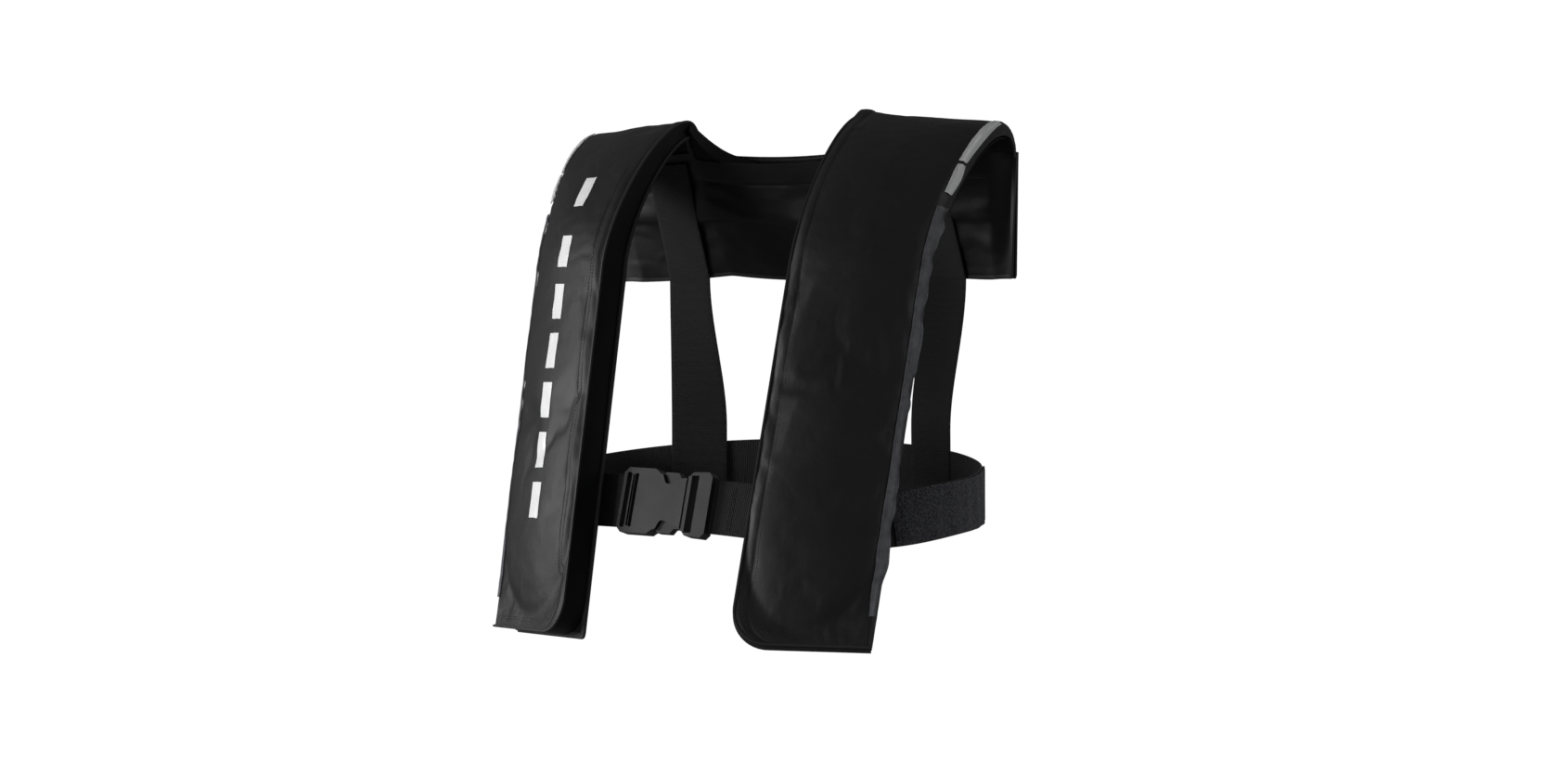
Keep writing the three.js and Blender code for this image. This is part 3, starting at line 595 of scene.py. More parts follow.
def yoke_folds(a, v, seed, depth):
    """Level folds that fade towards the neckline, the hem and the ends."""
    x, z = a * 230, v * YOKE_HEIGHT
    free = smooth(v, 0.02, 0.22) * (1 - smooth(v, 0.86, 0.99)) * (1 - smooth(np.abs(a), 0.9, 0.995))
    level = ripple(x * 0.2, z, seed, 44) + 0.4 * ripple(x * 0.6, z * 1.1, seed + 1, 22)
    return depth * free * level


def collar_and_tuck(a, v):
    """The lining's collar band is doubled, and below it the cloth hangs in one long level tuck."""
    sway = 0.02 * np.sin(a * 9)
    band = 0.9 * smooth(v, 0.155, 0.17) + 0.5 * np.exp(-((v - 0.172) / 0.012) ** 2)
    tuck = -2.6 * smooth(v, 0.22, 0.46 + sway) * (1 - smooth(v, 0.475 + sway, 0.53 + sway))
    return (band - 0.9 + tuck) * (1 - smooth(np.abs(a), 0.85, 0.99))


def thin_ends(a):
    """The bag thins to a flat seam at its two ends."""
    return smooth(np.abs(a), 0.9, 0.998)


def yoke_layer(name, seed, n, depth, puff, outwards, node_name, material):
    """One layer of the yoke's bag, n out from its middle, with folds of the given depth."""
    def place(p, q):
        a = (2 * p - 1) * 0.999 * (-1 if outwards else 1)
        top = -0.014 if outwards else -0.014 - 0.06 * smooth(np.abs(a), 0.405, 0.42)
        v = top + (0.998 - top) * (1 - q)
        swell = puff * np.sin(np.clip(v, 0, 1) * math.pi) * (1 - np.abs(a) ** 6)
        inner = 0 if outwards else collar_and_tuck(a, v) + THINNED_BY * thin_ends(a)
        rise = n + swell + inner + yoke_folds(a, v, seed, depth)
        if not outwards:
            rise = np.minimum(rise, LINING_LEVEL + 0.4 + THINNED_BY * thin_ends(a))
        return yoke_point(a, v, rise)

    layer = cloth_grid(name, 150, 76, place, (0.46, 0.12))
    finished(layer, ("SOLIDIFY", {"thickness": 0.001, "offset": 0}))
    flip_out(layer)
    wear(layer, material)
    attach(layer, "jacket")
    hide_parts(node_name)


yoke_nylon = coated_nylon("yoke_nylon", "0a0a0b", "121213", 0.45, 0.3)
yoke_layer("yoke_outside", 61, OUTSIDE_LEVEL, 0.7, 2.5, True, "yoke_cover", black_nylon)
yoke_layer("yoke_inside", 71, LINING_LEVEL, 0.7, -0.8, False, "yoke_lining", yoke_nylon)


def neck_corner(side):
    """The web of cloth that carries the neckline up to the inner end of the ridge."""
    ends = yoke_point(np.array([WEB_TO]), np.array([SEAM_LEVEL]), np.array([-1.4]))[0]
    top = (RIDGE_INNER + (-1, 4, -2), RIDGE_INNER + (-12, 18, -17), ends + (34, -6, 1.5), ends)

    def place(p, q):
        t = (q if side == "left" else 1 - q)[:, None]
        a, b, c, d = top
        upper = a * (1 - t) ** 3 + 3 * b * t * (1 - t) ** 2 + 3 * c * t * t * (1 - t) + d * t ** 3
        foot = WEB_FROM + (WEB_TO - WEB_FROM) * t[:, 0]
        low = yoke_point(foot, np.full(len(q), 0.02), np.full(len(q), -1.4))
        return handed(low + (upper - low) * p[:, None], side)

    web = cloth_grid(f"neck_corner_{side}", 12, 60, place, (0.03, 0.07))
    finished(web, ("SOLIDIFY", {"thickness": 0.0132, "offset": 1}),
             ("BEVEL", {"width": 0.0009, "segments": 2, "angle_limit": math.radians(50)}))
    flip_out(web)
    wear(web, side_nylon)
    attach(web, "jacket")


def yoke_edges():
    """The yoke's rim, hems, neckline and the one row of stitches along its collar band."""
    def rim_line(t):
        down = np.clip(t / 0.2, 0, 1) - np.clip((t - 0.8) / 0.2, 0, 1)
        a = np.interp(t, [0, 0.2, 0.8, 1], [-0.997, -0.997, 0.997, 0.997])
        return a, -0.012 + 1.009 * down

    def rim_place(p, q):
        a, v = rim_line(q)
        return yoke_point(a, v, -1.0 - (13.6 - THINNED_BY * thin_ends(a)) * (1 - p))

    rim = cloth_grid("yoke_rim_wall", 5, 320, rim_place, (0.014, 0.68))
    finished(rim, ("SOLIDIFY", {"thickness": 0.0011, "offset": 0}))
    flip_out(rim)
    wear(rim, side_nylon)
    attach(rim, "jacket")
    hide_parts("yoke_rim")

    t = np.linspace(0, 1, 300)
    a, v = rim_line(t)
    hems = (("yoke_hem_outside", OUTSIDE_LEVEL, 0), ("yoke_hem_inside", LINING_LEVEL, THINNED_BY))
    for name, n, thinned in hems:
        deep = n + thinned * thin_ends(a)
        line = yoke_point(a, v, deep) * 0.001
        out = yoke_point(a, v, deep + 1) * 0.001 - line
        tape = tape_along(name, line, out, 0.0024, 0.0013)
        wear(tape, highlit_binding_tape)
        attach(tape, "jacket")

    def neck_place(p, q):
        a = (2 * q - 1) * 0.435
        depth = 12.5 * p
        return yoke_point(a, SEAM_LEVEL + 0.02 * np.sin(p * math.pi), -1.4 - depth)

    neck = cloth_grid("neck_wall", 8, 100, neck_place, (0.013, 0.2))
    finished(neck, ("SOLIDIFY", {"thickness": 0.001, "offset": 0}))
    flip_out(neck)
    wear(neck, side_nylon)
    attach(neck, "jacket")
    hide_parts("neck_gusset")

    for side in ("left", "right"):
        neck_corner(side)

    a = np.linspace(-0.43, 0.43, 120)
    for name, n in (("neckline_piping", -1.0), ("neckline_binding", -14.4)):
        line = yoke_point(a, np.full_like(a, SEAM_LEVEL), np.full_like(a, n)) * 0.001
        out = yoke_point(a, np.full_like(a, SEAM_LEVEL), np.full_like(a, n + 1)) * 0.001 - line
        tape = tape_along(name, line, out, 0.0016, 0.0014)
        wear(tape, highlit_binding_tape)
        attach(tape, "jacket")

    a = np.linspace(-0.9, 0.9, 300)
    line = yoke_point(a, np.full_like(a, 0.17), np.full_like(a, -15.8)) * 0.001
    out = line - yoke_point(a, np.full_like(a, 0.17), np.full_like(a, -14.8)) * 0.001
    row = stitch_row("yoke_stitches", line, out)
    wear(row, black_thread)
    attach(row, "jacket")


yoke_edges()

# ---- waist belt and back straps ----------------------------------------------------------------
# All the straps are polyester webbing with a fine level rib and firm edges. The belt is one loop,
# sewn back on itself at the buckle, and a velour patch for the closure covers its left side.

BELT_WIDE, BELT_DEEP, BELT_BACK = 228.0, 136.0, -60.0
BELT_ROUND = 2.1
BELT_LEVEL = -340.0
WEB_WIDTH, WEB_THICK = 50.0, 2.2


def belt_middle(degrees):
    """The belt's rounded oval, which sags a little at the wearer's left front."""
    t = np.radians(degrees)
    c, s = np.cos(t), np.sin(t)
    wrapped = (degrees + 180) % 360 - 180
    sag = 14 * np.exp(-((wrapped + 45) / 30) ** 2)
    level = BELT_LEVEL + np.where(s > 0, 21, -3) * s * np.abs(s) ** 0.3
    y = BELT_BACK + BELT_DEEP * np.sign(s) * np.abs(s) ** (2 / BELT_ROUND)
    x = BELT_WIDE * np.sign(c) * np.abs(c) ** (2 / BELT_ROUND)
    return np.stack([x, y - sag * UP_LOBE[1] / UP_LOBE[2], level - sag], axis=-1)


def belt_frame(degrees):
    """The belt's middle there, with unit vectors along it, up it and out of it."""
    degrees = np.asarray(degrees, float)
    run = belt_middle(degrees + 0.5) - belt_middle(degrees - 0.5)
    run /= np.linalg.norm(run, axis=-1, keepdims=True)
    lean = 0.29 * smooth(-np.sin(np.radians(degrees)), 0, 0.8)
    upright = np.stack([np.zeros_like(lean), lean, np.ones_like(lean)], axis=-1)
    facing = np.cross(run, upright)
    facing /= np.linalg.norm(facing, axis=-1, keepdims=True)
    return belt_middle(degrees), run, np.cross(facing, run), facing


def belt_at(degrees, out, up):
    """A point out from the belt's middle and up it."""
    middle, _, rise, facing = belt_frame(degrees)
    return middle + facing * out[..., None] + rise * up[..., None]


def front_angle(x):
    """Where on the oval the belt's front passes x, in degrees."""
    c = np.sign(x) * np.abs(x / BELT_WIDE) ** (BELT_ROUND / 2)
    return -math.degrees(math.acos(float(c)))


def webbing(name, dark, light, rib):
    """Ribbed webbing: ribs across the strap, fine straight threads along it and a furred grain."""
    material, tree, shader = new_material(name, 0.82, Sheen_Weight=0.08, Sheen_Roughness=0.5)
    where = node(tree, "ShaderNodeUVMap").outputs["UV"]
    axes = node(tree, "ShaderNodeSeparateXYZ", {0: where})
    ribs = calc(tree, "SINE", calc(tree, "MULTIPLY", axes.outputs[1], 2 * math.pi / rib))
    threads = calc(tree, "SINE", calc(tree, "MULTIPLY", axes.outputs[0], 2 * math.pi / 0.0013))
    place = node(tree, "ShaderNodeTexCoord").outputs["Object"]
    fuzz = mottle(tree, place, 700.0, 4.0)
    # The colour follows the ribs, darker in their troughs: painted shade in the grooves, over the
    # webbing's own cloudy tone.
    shade = calc(tree, "ADD", calc(tree, "MULTIPLY", ribs, 0.16), mottle(tree, place, 30.0))
    tint(tree, shader, shade, dark, light)
    height = calc(tree, "ADD", ribs, calc(tree, "ADD", calc(tree, "MULTIPLY", threads, 0.35), fuzz))
    relief(tree, shader, height, 0.00035, 0.7)
    return material


black_webbing = webbing("black_webbing", "09090a", "131315", 0.0016)


def strap_piece(name, start, stop, count, out, node_name, wave=0.25, half=WEB_WIDTH / 2):
    """A length of webbing along the belt's oval, from one angle to another."""
    def place(p, q):
        degrees = start + (stop - start) * q
        across = (2 * p - 1) * half
        ease = wave * ripple(q * 900, across * 0.5, 91, 90)
        return belt_at(degrees, out + ease, across)

    path = belt_middle(np.linspace(start, stop, 200))
    length = float(np.sum(np.linalg.norm(np.diff(path, axis=0), axis=1)))
    strap = cloth_grid(name, 10, count, place, (half * 0.002, length * 0.001))
    finished(strap, ("SOLIDIFY", {"thickness": WEB_THICK * 0.001 * 0.95, "offset": 0}),
             ("BEVEL", {"width": 0.0006, "segments": 2, "angle_limit": math.radians(50)}))
    flip_out(strap)
    wear(strap, black_webbing)
    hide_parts(node_name)
    return strap


BUCKLE_ANGLE = front_angle(-10.0)
LEFT_END = front_angle(103)
FEMALE_END = front_angle(-63)
MALE_END = front_angle(35.2)
main_belt = strap_piece("belt_webbing", LEFT_END, FEMALE_END + 360, 420, 0.0, "waist_belt")
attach(main_belt, "jacket")
short_strap = strap_piece("buckle_webbing", MALE_END, LEFT_END - 0.5, 40, 0.0, "front_strap", 0.0)
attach(short_strap, "jacket")
slider_end, belt_run, _, _ = belt_frame(LEFT_END)
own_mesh(short_strap)


def velour():
    """Brushed loop pile: tiny pale flecks over charcoal, with a soft edge of light."""
    material, tree, shader = new_material("velour", 0.95, Sheen_Weight=0.15, Sheen_Roughness=0.6)
    place = node(tree, "ShaderNodeTexCoord").outputs["Object"]
    cells = node(tree, "ShaderNodeTexVoronoi", {"Vector": place, "Scale": 520.0}).outputs["Distance"]
    pile = mottle(tree, place, 420.0, 5.0)
    flecks = calc(tree, "MULTIPLY_ADD", calc(tree, "ADD", pile, cells), 1.6, -1.0)
    tint(tree, shader, flecks, "0b0b0e", "45464e")
    relief(tree, shader, calc(tree, "ADD", cells, pile), 0.0009, 0.9)
    return material


pile_cloth = velour()
patch = strap_piece("velour_patch", -34, 22, 90, 2.3, "velour_face", 0.3, WEB_WIDTH / 2 - 0.8)
wear(patch, pile_cloth)
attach(patch, "jacket")


def belt_stitches(name, degrees, out):
    """A row of stitches straight across the belt."""
    up = np.linspace(-22, 22, 60)
    turn = np.full_like(up, degrees)
    line = belt_at(turn, np.full_like(up, out), up) * 0.001
    _, _, _, facing = belt_frame(turn)
    row = stitch_row(name, line, facing)
    wear(row, black_thread)
    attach(row, "jacket")


for k, x in enumerate((52.0, 55.0, 98.0)):
    belt_stitches(f"belt_stitches_{k + 1}", front_angle(x), 1.35)
for k, degrees in enumerate((-33, 21)):
    belt_stitches(f"patch_stitches_{k + 1}", degrees, 3.4)


STRAP_WIDTH = 52.0
STRAP_FOOT, STRAP_HEM = 130.0, 149.0
STRAP_END = -345.0


def strap_path(p, t):
    """A back strap: p from -0.5 to 0.5 across, t from its top inside the yoke to the belt."""
    row = t * 2
    v = np.minimum(row, 1)
    x = STRAP_FOOT + (STRAP_HEM - STRAP_FOOT) * v + p * STRAP_WIDTH
    on_yoke = yoke_point(x / NAPE_OUTER[0], v, np.full_like(v, -17.85))
    hem = yoke_point(np.array([STRAP_HEM / NAPE_OUTER[0]]), np.array([1.0]), np.array([-16.0]))[0, 2]
    z = hem + (STRAP_END - hem) * np.maximum(row - 1, 0)
    x_low = STRAP_FOOT + p * STRAP_WIDTH
    bow = (1 - (x_low / BELT_WIDE) ** BELT_ROUND) ** (1 / BELT_ROUND)
    y_low = BELT_BACK + BELT_DEEP * bow - 2.4
    low = np.stack([x_low, y_low, z], axis=-1)
    hung = np.stack([on_yoke[:, 0], on_yoke[:, 1], z], axis=-1)
    share = smooth(row, 1, 1.7)[:, None]
    return np.where(row[:, None] <= 1, on_yoke, hung * (1 - share) + low * share)


def back_strap(side):
    """A strap from inside the yoke down to the belt, with its rows of stitches."""
    def place(p, q):
        across = (p - 0.5) * (1 if side == "right" else -1)
        points = strap_path(across, 1 - q)
        points[:, 1] += 0.5 * ripple(q * 330, p * 20, 83 if side == "left" else 85, 120)
        return handed(points, side)

    strap = cloth_grid(f"back_webbing_{side}", 12, 200, place, (STRAP_WIDTH * 0.001, 0.33))
    finished(strap, ("SOLIDIFY", {"thickness": WEB_THICK * 0.001 * 0.9, "offset": 0}),
             ("BEVEL", {"width": 0.0005, "segments": 2, "angle_limit": math.radians(50)}))
    flip_out(strap)
    wear(strap, black_webbing)
    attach(strap, "jacket")
    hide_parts(f"back_strap_{side}")
    for k, t in enumerate((0.16, 0.46, 0.62, 0.9)):
        across = np.linspace(-0.44, 0.44, 50)
        line = handed(strap_path(across, np.full_like(across, t)), side) * 0.001 - (0, 0.0012, 0)
        row = stitch_row(f"strap_stitches_{side}_{k + 1}", line, np.tile((0.0, -1.0, 0.0), (50, 1)))
        wear(row, black_thread)
        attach(row, "jacket")


for side in ("left", "right"):
    back_strap(side)

# ---- buckle, slider and belt sleeves -----------------------------------------------------------
# The side-release buckle is moulded in dull acetal: a hollow female half with a smooth waisted
# face, and a male half whose two sprung arms show as buttons in the notches above and below.


def acetal(name, dark, light, roughness, grain=0.00012):
    """Dull moulded acetal with a fine spark-eroded grain and slightly polished high spots."""
    material, tree, shader = new_material(name, roughness, Specular_IOR_Level=0.42)
    place = node(tree, "ShaderNodeTexCoord").outputs["Object"]
    speck = mottle(tree, place, 1500.0, 4.0)
    cloud = mottle(tree, place, 60.0)
    tint(tree, shader, calc(tree, "MULTIPLY", calc(tree, "ADD", cloud, speck), 0.5), dark, light)
    worn = calc(tree, "MULTIPLY_ADD", cloud, 0.2, roughness - 0.1)
    tree.links.new(worn, shader.inputs["Roughness"])
    relief(tree, shader, speck, grain, 0.8)
    return material


charcoal_acetal = acetal("charcoal_acetal", "17171a", "242428", 0.52)
# A darker copy of the buckle's acetal, a painted shade for the arms recessed in the notches.
shaded_acetal = acetal("shaded_acetal", "0b0b0d", "131315", 0.5)


def carve(piece, outline):
    """Cuts a straight-sided hole through the buckle: outline runs along the belt and up it, in mm."""
    middle, run, rise, facing = belt_frame(BUCKLE_ANGLE)
    bpy.ops.object.select_all(action="DESELECT")
    bpy.ops.mesh.primitive_circle_add(vertices=len(outline), radius=1, fill_type="NGON")
    cutter = bpy.context.object
    corners = np.array([middle + run * x + rise * z - facing * 30 for x, z in outline])
    set_points(cutter, corners * 0.001)
    bpy.ops.object.mode_set(mode="EDIT")
    bpy.ops.mesh.select_all(action="SELECT")
    bpy.ops.mesh.extrude_region_move(TRANSFORM_OT_translate={"value": tuple(facing * 0.06)})
    bpy.ops.mesh.select_all(action="SELECT")
    bpy.ops.mesh.normals_make_consistent(inside=False)
    bpy.ops.object.mode_set(mode="OBJECT")
    bpy.ops.object.select_all(action="DESELECT")
    piece.select_set(True)
    bpy.context.view_layer.objects.active = piece
    cut = piece.modifiers.new("Cut", "BOOLEAN")
    cut.operation = "DIFFERENCE"
    cut.object = cutter
    bpy.ops.object.modifier_apply(modifier=cut.name)
    bpy.data.objects.remove(cutter)


def moulded(node_name, name, edge, material, body, segments=3, holes=()):
    """The CAD piece with its holes cut and its corners rounded as a moulding's are."""
    bpy.ops.object.select_all(action="DESELECT")
    bpy.ops.mesh.primitive_cube_add(size=0.001)
    piece = bpy.context.object
    piece.name = name
    shape = bmesh.new()
    shape.from_mesh(nodes[node_name].data)
    bmesh.ops.remove_doubles(shape, verts=shape.verts, dist=2e-6)
    bmesh.ops.dissolve_limit(shape, angle_limit=math.radians(1), verts=shape.verts, edges=shape.edges)
    shape.to_mesh(piece.data)
    shape.free()
    piece.data.name = name
    for outline in holes:
        carve(piece, outline)
    finished(piece, ("BEVEL", {"width": edge, "segments": segments, "angle_limit": math.radians(30)}))
    even = piece.modifiers.new("Even", "WEIGHTED_NORMAL")
    even.weight = 100
    even.keep_sharp = True
    bpy.ops.object.modifier_apply(modifier=even.name)
    wear(piece, material)
    if body:
        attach(piece, body)
    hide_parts(node_name)
    return piece


def both_ways(outline):
    """The outline and its mirror image below the buckle's middle."""
    return outline, [(x, -z) for x, z in reversed(outline)]


def slot_between(left, right):
    """A slot for the webbing, as high as the webbing is wide."""
    half = WEB_WIDTH / 2
    return [(left, -half), (right, -half), (right, half), (left, half)]


notches = both_ways([
    (-12, 34), (-10.5, 27.5), (-6, 18.5), (-3.5, 17), (0, 17.6), (12, 22.5), (19, 24), (19, 34),
])
shoulders = both_ways([(15, 34), (15, 24.5), (19.5, 26), (22.5, 29.4), (26, 30.3), (28, 34)])
web_slots = (slot_between(-48.6, -43.4), slot_between(-39.6, -36))
moulded("buckle_female", "buckle_socket", 0.0009, charcoal_acetal, "jacket", 3, notches + web_slots)
moulded("buckle_male", "buckle_tongue", 0.0009, charcoal_acetal, "buckle_male", 3, shoulders)
# The buttons wear the darker acetal: painted shade in the notches.
moulded("buckle_arm_upper", "buckle_button_upper", 0.0012, shaded_acetal, "arm_upper")
moulded("buckle_arm_lower", "buckle_button_lower", 0.0012, shaded_acetal, "arm_lower")
moulded("belt_slider", "belt_adjuster", 0.001, charcoal_acetal, "jacket")
moulded("belt_keeper_left", "belt_sleeve_left", 0.0006, side_nylon, "jacket")
moulded("belt_keeper_right", "belt_sleeve_right", 0.0006, side_nylon, "jacket")

# ---- closure edges -----------------------------------------------------------------------------
# The outer edge of each cover closes with grey hook-and-loop tape. The tape is stiffer than the
# nylon, so its lip stands out past the edge in waves. Over the shoulder a white strip along the
# edge is a painted highlight, the glint of light on that edge.


def tape_cloth(name, dark, light, roughness=0.8):
    """Woven tape with a coarse even weave and a mottled shade."""
    material, tree, shader = new_material(name, roughness)
    weave = plain_weave(tree, 0.0016, 0.0016)
    place = node(tree, "ShaderNodeTexCoord").outputs["Object"]
    tint(tree, shader, mottle(tree, place, 140.0, 5.0), dark, light)
    relief(tree, shader, calc(tree, "ADD", weave, mottle(tree, place, 900.0)), 0.0003, 0.8)
    return material


grey_tape = tape_cloth("grey_tape", "46474b", "828388")
# Near-white tape used as a painted highlight: the glint of light along the shoulder edge.
glint_tape = tape_cloth("glint_tape", "e6e7e8", "ffffff", 0.4)
hook_tape = tape_cloth("hook_tape", "17171a", "2c2c30")


def on_cloth(cover, points, lift):
    """Moves points on to the nearest cloth and gives the cloth's facing there."""
    found, facing = [], []
    for point in points:
        _, place, normal, _ = cover.closest_point_on_mesh(Vector(point))
        found.append(place + normal * lift)
        facing.append(normal)
    return np.array(found), np.array(facing)


def lip(side, name, low, high, inner, width, material, blended):
    """A strip along the cover's outer edge: it lies on the cloth and stands out past it by width."""
    def place(p, q):
        t = p if side == "left" else 1 - p
        s = low + (high - low) * q
        reach = LOBE_WIDTH - inner + width(s * LOBE_LENGTH, q)
        u = inner + t * reach
        n = 5 * (1 - smooth(t, 0.5, 0.75)) - 1.5 * t
        return handed(lobe_point(u, s, n), side)

    length = (high - low) * LOBE_LENGTH * 0.001
    strip = cloth_grid(name, 8, int(length / 0.002), place, (0.012, length))
    raised = get_points(strip.data)
    laid, _ = on_cloth(bpy.data.objects[f"cover_{side}"], raised, 0.0008)
    across = np.tile(np.linspace(0, 1, 9) if side == "left" else np.linspace(1, 0, 9), len(raised) // 9)
    share = (1 - smooth(across, 0.45, 0.8))[:, None]
    set_points(strip, laid * share + raised * (1 - share))
    finished(strip, ("SOLIDIFY", {"thickness": 0.0009, "offset": 0}))
    flip_out(strip)
    wear(strip, material)
    if blended:
        ride_with_cover(strip)
    else:
        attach(strip, "jacket")


def frayed(along, t):
    """The free lip stands out past the cover in uneven waves."""
    return 1.6 + 1.3 * ripple(along, 0 * along, 39, 80) + 0.5 * ripple(along, 0 * along, 40, 24)


def tucked(along, t):
    """The closed lip ends just inside the cover's edge."""
    return -0.6 + 0 * along


def glint_bow(along, t):
    """The painted glint strip bows out and tapers at both ends."""
    return 0.8 + 2.2 * np.sin(np.clip(t, 0, 1) * math.pi)


for side in ("left", "right"):
    edge = frayed if side == "left" else tucked
    lip(side, f"closure_lip_{side}", 0.08, 1.3, 120.5, edge, grey_tape, True)
    # Over the shoulder the two white strips are painted highlights for the glint on the edge.
    lip(side, f"shoulder_glint_strip_{side}", 1.55, 1.95, 121.5, glint_bow, glint_tape, False)
    lip(side, f"shoulder_glint_patch_{side}", 1.37, 1.53, 123.0, glint_bow, glint_tape, False)
    hooks = moulded(f"hook_tape_{side}", f"hook_strip_{side}", 0.0001, hook_tape, None, 1)
    ride_with_cover(hooks)
    nodes[f"loop_tape_{side}"].data.materials.clear()
    nodes[f"loop_tape_{side}"].data.materials.append(hook_tape)

# ---- stitching and reflective dashes on the covers ---------------------------------------------
# A topstitched hem runs a finger's width inside the cover's inner edge and along its foot. Plain
# silver dashes of retroreflective film are heat-pressed on the wearer's right lobe.


def hem_stitches(side):
    """Two rows of topstitching along the cover's inner edge and foot."""
    cover = bpy.data.objects[f"cover_{side}"]
    t = np.linspace(0.01, 0.995, 420)
    for k, inset in enumerate((8.5, 11.0)):
        u, s = wall_line(t, inset)
        line, facing = on_cloth(cover, handed(lobe_point(u, s, 7 + roll_rise(u, s)), side) * 0.001, 0.0001)
        row = stitch_row(f"hem_stitches_{side}_{k + 1}", line, facing)
        wear(row, black_thread)
        ride_with_cover(row)


def reflective_film():
    """Glass-bead film: bright silver with a faint honeycomb."""
    material, tree, shader = new_material("reflective_film", 0.35, Metallic=0.1)
    place = node(tree, "ShaderNodeTexCoord").outputs["Object"]
    cells = node(tree, "ShaderNodeTexVoronoi", {"Vector": place, "Scale": 900.0}).outputs["Distance"]
    tint(tree, shader, calc(tree, "ADD", cells, mottle(tree, place, 50.0)), "dcdddf", "ffffff")
    relief(tree, shader, cells, 0.0001, 0.6)
    return material


film = reflective_film()
dash_rows = [(104 + 48 * k, 138 + 48 * k) for k in range(5)]
dash_rows += [(low * LOBE_LENGTH, (low + 0.15) * LOBE_LENGTH) for low in (1.0, 1.3)]


DASH_EDGE, DASH_WIDTH = 47.6, 15.9


def reflective_dash(number, low, high):
    """One strip of film laid on the right cover, from low to high up the lobe."""
    def place(p, q):
        u = DASH_EDGE + (1 - p) * DASH_WIDTH
        s = (low + (high - low) * q) / LOBE_LENGTH
        return handed(lobe_point(u, s, 8 + roll_rise(u, s)), "right")

    dash = cloth_grid(f"silver_dash_{number}", 14, 30, place, (0.016, 0.034))
    cover = bpy.data.objects["cover_right"]
    points, _ = on_cloth(cover, get_points(dash.data), 0.0004)
    set_points(dash, points)
    finished(dash, ("SOLIDIFY", {"thickness": 0.0004, "offset": 0}))
    flip_out(dash)
    wear(dash, film)
    ride_with_cover(dash)
    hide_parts(f"reflective_dash_{number}")


for side in ("left", "right"):
    hem_stitches(side)
for number, (low, high) in enumerate(dash_rows):
    reflective_dash(number + 1, low, high)

# ---- bladder, inflator and oral tube -----------------------------------------------------------
# Inside the covers lies the rolled bladder of yellow coated cloth. The left lobe holds the gas
# cylinder, its firing head and pull handle, and the right lobe the mouth tube and the whistle.


def bladder_cloth():
    """Yellow coated cloth, a little glossy, with long soft folds."""
    material, tree, shader = new_material("bladder_cloth", 0.42, Coat_Weight=0.2, Coat_Roughness=0.4)
    place = node(tree, "ShaderNodeTexCoord").outputs["Object"]
    tint(tree, shader, mottle(tree, place, 35.0), "b89a08", "e6cf1e")
    waves = {"Vector": place, "Scale": 26.0, "Distortion": 5.0, "Detail": 3.0}
    folds = node(tree, "ShaderNodeTexWave", waves).outputs["Fac"]
    relief(tree, shader, calc(tree, "ADD", folds, mottle(tree, place, 400.0)), 0.0011, 0.8)
    return material


bladder = moulded("bladder", "rolled_bladder", 0.0002, bladder_cloth(), "jacket", 1)
finished(bladder, ("REMESH", {"mode": "VOXEL", "voxel_size": 0.0018}),
         ("SMOOTH", {"factor": 0.7, "iterations": 5}))
rolled = get_points(bladder.data) * 1000
long_creases = ripple(rolled[:, 0] * 2.2, rolled[:, 2] * 0.35, 77, 30)
creased = 0.7 + long_creases + 0.5 * ripple(rolled[:, 0], rolled[:, 2], 78, 14)
in_lobes = smooth(-rolled[:, 1], 8, 40)
rolled += np.stack([0 * creased, -0.3 * creased * in_lobes, 0.1 * creased * in_lobes], axis=1)
set_points(bladder, rolled * 0.001)

red_moulding = acetal("red_moulding", "8f1511", "b4201a", 0.34)
black_moulding = acetal("black_moulding", "1b1b1d", "29292c", 0.4)


def plated_steel():
    """Zinc-plated steel, drawn lengthways and a little dulled by handling."""
    material, tree, shader = new_material("plated_steel", 0.34, Metallic=1.0)
    place = node(tree, "ShaderNodeTexCoord").outputs["Object"]
    stretched = node(tree, "ShaderNodeMapping", {"Vector": place, "Scale": (900.0, 900.0, 60.0)})
    brushed = mottle(tree, stretched.outputs[0], 1.0, 4.0)
    cloud = mottle(tree, place, 45.0)
    tint(tree, shader, cloud, "8f9396", "c6c9cc")
    relief(tree, shader, brushed, 0.00006, 0.5)
    return material


steel = plated_steel()
for node_name, name, edge, material, slot, body in (
    ("inflator_body", "firing_head", 0.0012, black_moulding, "acetal", "jacket"),
    ("inflator_flange", "bladder_flange", 0.0005, black_moulding, "acetal", "jacket"),
    ("gas_cylinder", "gas_bottle", 0.0003, steel, "steel", "gas_cylinder"),
    ("piercing_pin", "firing_pin", 0.0003, steel, "steel", "pin"),
    ("inflator_lever", "firing_lever", 0.0006, black_moulding, "acetal", "lever"),
    ("pull_strap", "pull_webbing", 0.0003, black_webbing, "webbing", "pull"),
    ("pull_handle", "pull_grip", 0.0012, red_moulding, "red_plastic", "pull"),
    ("oral_tube", "mouth_tube", 0.0005, black_moulding, "acetal", "jacket"),
    ("tube_cap", "mouth_cap", 0.0006, black_moulding, "acetal", "tube_cap"),
    ("valve_poppet", "valve_button", 0.0004, red_moulding, "red_plastic", "poppet"),
    ("whistle_clip", "whistle_holder", 0.0006, black_moulding, "acetal", "jacket"),
    ("whistle", "safety_whistle", 0.001, red_moulding, "red_plastic", "whistle"),
):
    moulded(node_name, name, edge, material, body)

# ---- camera and light --------------------------------------------------------------------------
# A pale seamless floor curves up all round into the backdrop. One large soft light stands at the
# wearer's right, a low one in front lights the chest, and a weak one behind the left edges the yoke.

AZIMUTH, ELEVATION, ROLL = math.radians(30), math.radians(2.3), math.radians(-0.7)
DISTANCE = 3.0185
SENSOR_WIDTH = 36
LENS_SHARE = 2.0660947

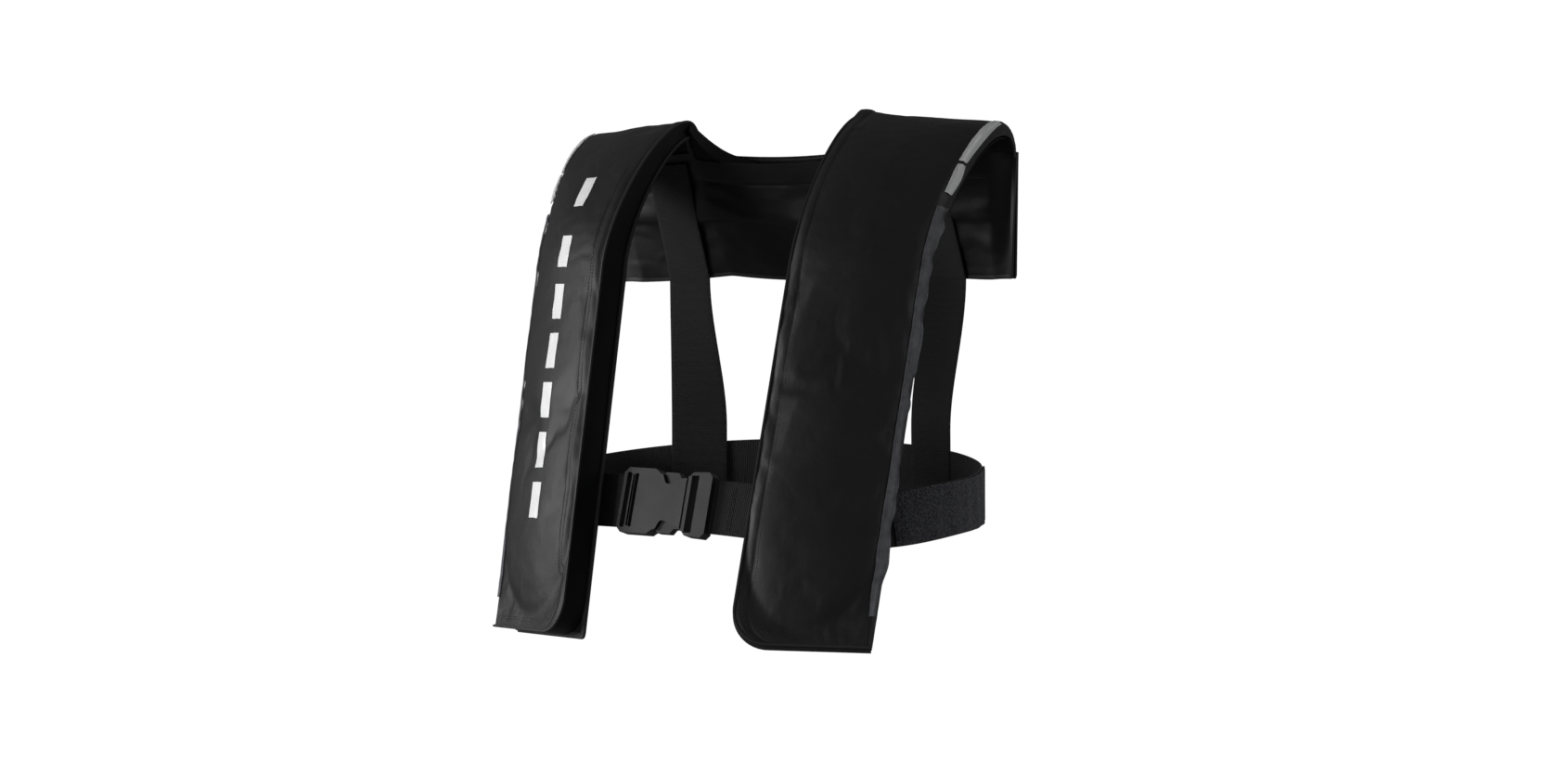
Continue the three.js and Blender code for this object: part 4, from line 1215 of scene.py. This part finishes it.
camera_data = bpy.data.cameras.new("camera")
camera_data.sensor_width = SENSOR_WIDTH
camera_data.lens = SENSOR_WIDTH * LENS_SHARE
camera_data.clip_end = 50
camera = bpy.data.objects.new("camera", camera_data)
bpy.context.collection.objects.link(camera)
level_back = Vector((math.sin(AZIMUTH), -math.cos(AZIMUTH), 0)) * math.cos(ELEVATION)
back = level_back + Vector((0, 0, math.sin(ELEVATION)))
level_right = Vector((math.cos(AZIMUTH), math.sin(AZIMUTH), 0))
upright = back.cross(level_right)
right = level_right * math.cos(ROLL) + upright * math.sin(ROLL)
over = upright * math.cos(ROLL) - level_right * math.sin(ROLL)
target = Vector((0.0553, -0.1, -0.2284))
turned = Matrix((right, over, back)).transposed().to_4x4()
camera.matrix_world = Matrix.Translation(target + back * DISTANCE) @ turned
bpy.context.scene.camera = camera


def soft_light(name, place, aim, size, power):
    """A rectangular lamp at place, turned towards aim."""
    data = bpy.data.lights.new(name, "AREA")
    data.shape = "RECTANGLE"
    data.size, data.size_y = size
    data.energy = power
    lamp = bpy.data.objects.new(name, data)
    bpy.context.collection.objects.link(lamp)
    lamp.location = place
    lamp.rotation_euler = (Vector(aim) - Vector(place)).to_track_quat("-Z", "Y").to_euler()


soft_light("key_light", (-2.4, -1.7, 0.35), (0, -0.1, -0.2), (0.9, 1.3), 44)
soft_light("fill_light", (-1.3, -2.9, -0.5), (0.05, -0.1, -0.3), (0.8, 0.8), 30)
soft_light("end_light", (2.6, 0.5, 0.4), (0.1, 0, -0.1), (0.6, 1.2), 10)

FLOOR_LEVEL = -0.8
FLOOR_REACH = 5
FLOOR_BEND = 2

bpy.ops.object.select_all(action="DESELECT")
bpy.ops.mesh.primitive_grid_add(x_subdivisions=96, y_subdivisions=40, size=2)
floor = bpy.context.object
floor.name = "studio_floor"
sweep = get_points(floor.data)
turn = (sweep[:, 0] + 1) * math.pi
run = (sweep[:, 1] + 1) / 2 * 17 + 0.001
past = np.maximum(run - FLOOR_REACH, 0)
bend = np.minimum(past, math.pi) / FLOOR_BEND
reach = np.minimum(run, FLOOR_REACH) + FLOOR_BEND * np.sin(bend)
level = FLOOR_LEVEL + FLOOR_BEND * (1 - np.cos(bend)) + np.maximum(past - math.pi, 0)
set_points(floor, np.stack([reach * np.cos(turn), reach * np.sin(turn), level], axis=1))
floor_paint, floor_tree, floor_shader = new_material("studio_paper", 0.9)
floor_place = node(floor_tree, "ShaderNodeTexCoord").outputs["Object"]
tint(floor_tree, floor_shader, mottle(floor_tree, floor_place, 3.0), "f4f4f3", "fafaf9")
floor_shader.inputs["Emission Color"].default_value = hex_colour("ffffff")
floor_shader.inputs["Emission Strength"].default_value = 0.85
floor.data.materials.append(floor_paint)
finished(floor)
floor.visible_diffuse = False
floor.visible_glossy = False

world = bpy.data.worlds.new("studio")
world.use_nodes = True
background = world.node_tree.nodes["Background"]
background.inputs["Color"].default_value = hex_colour("ffffff")
background.inputs["Strength"].default_value = 0.15
bpy.context.scene.world = world
bpy.context.scene.view_settings.view_transform = "Standard"
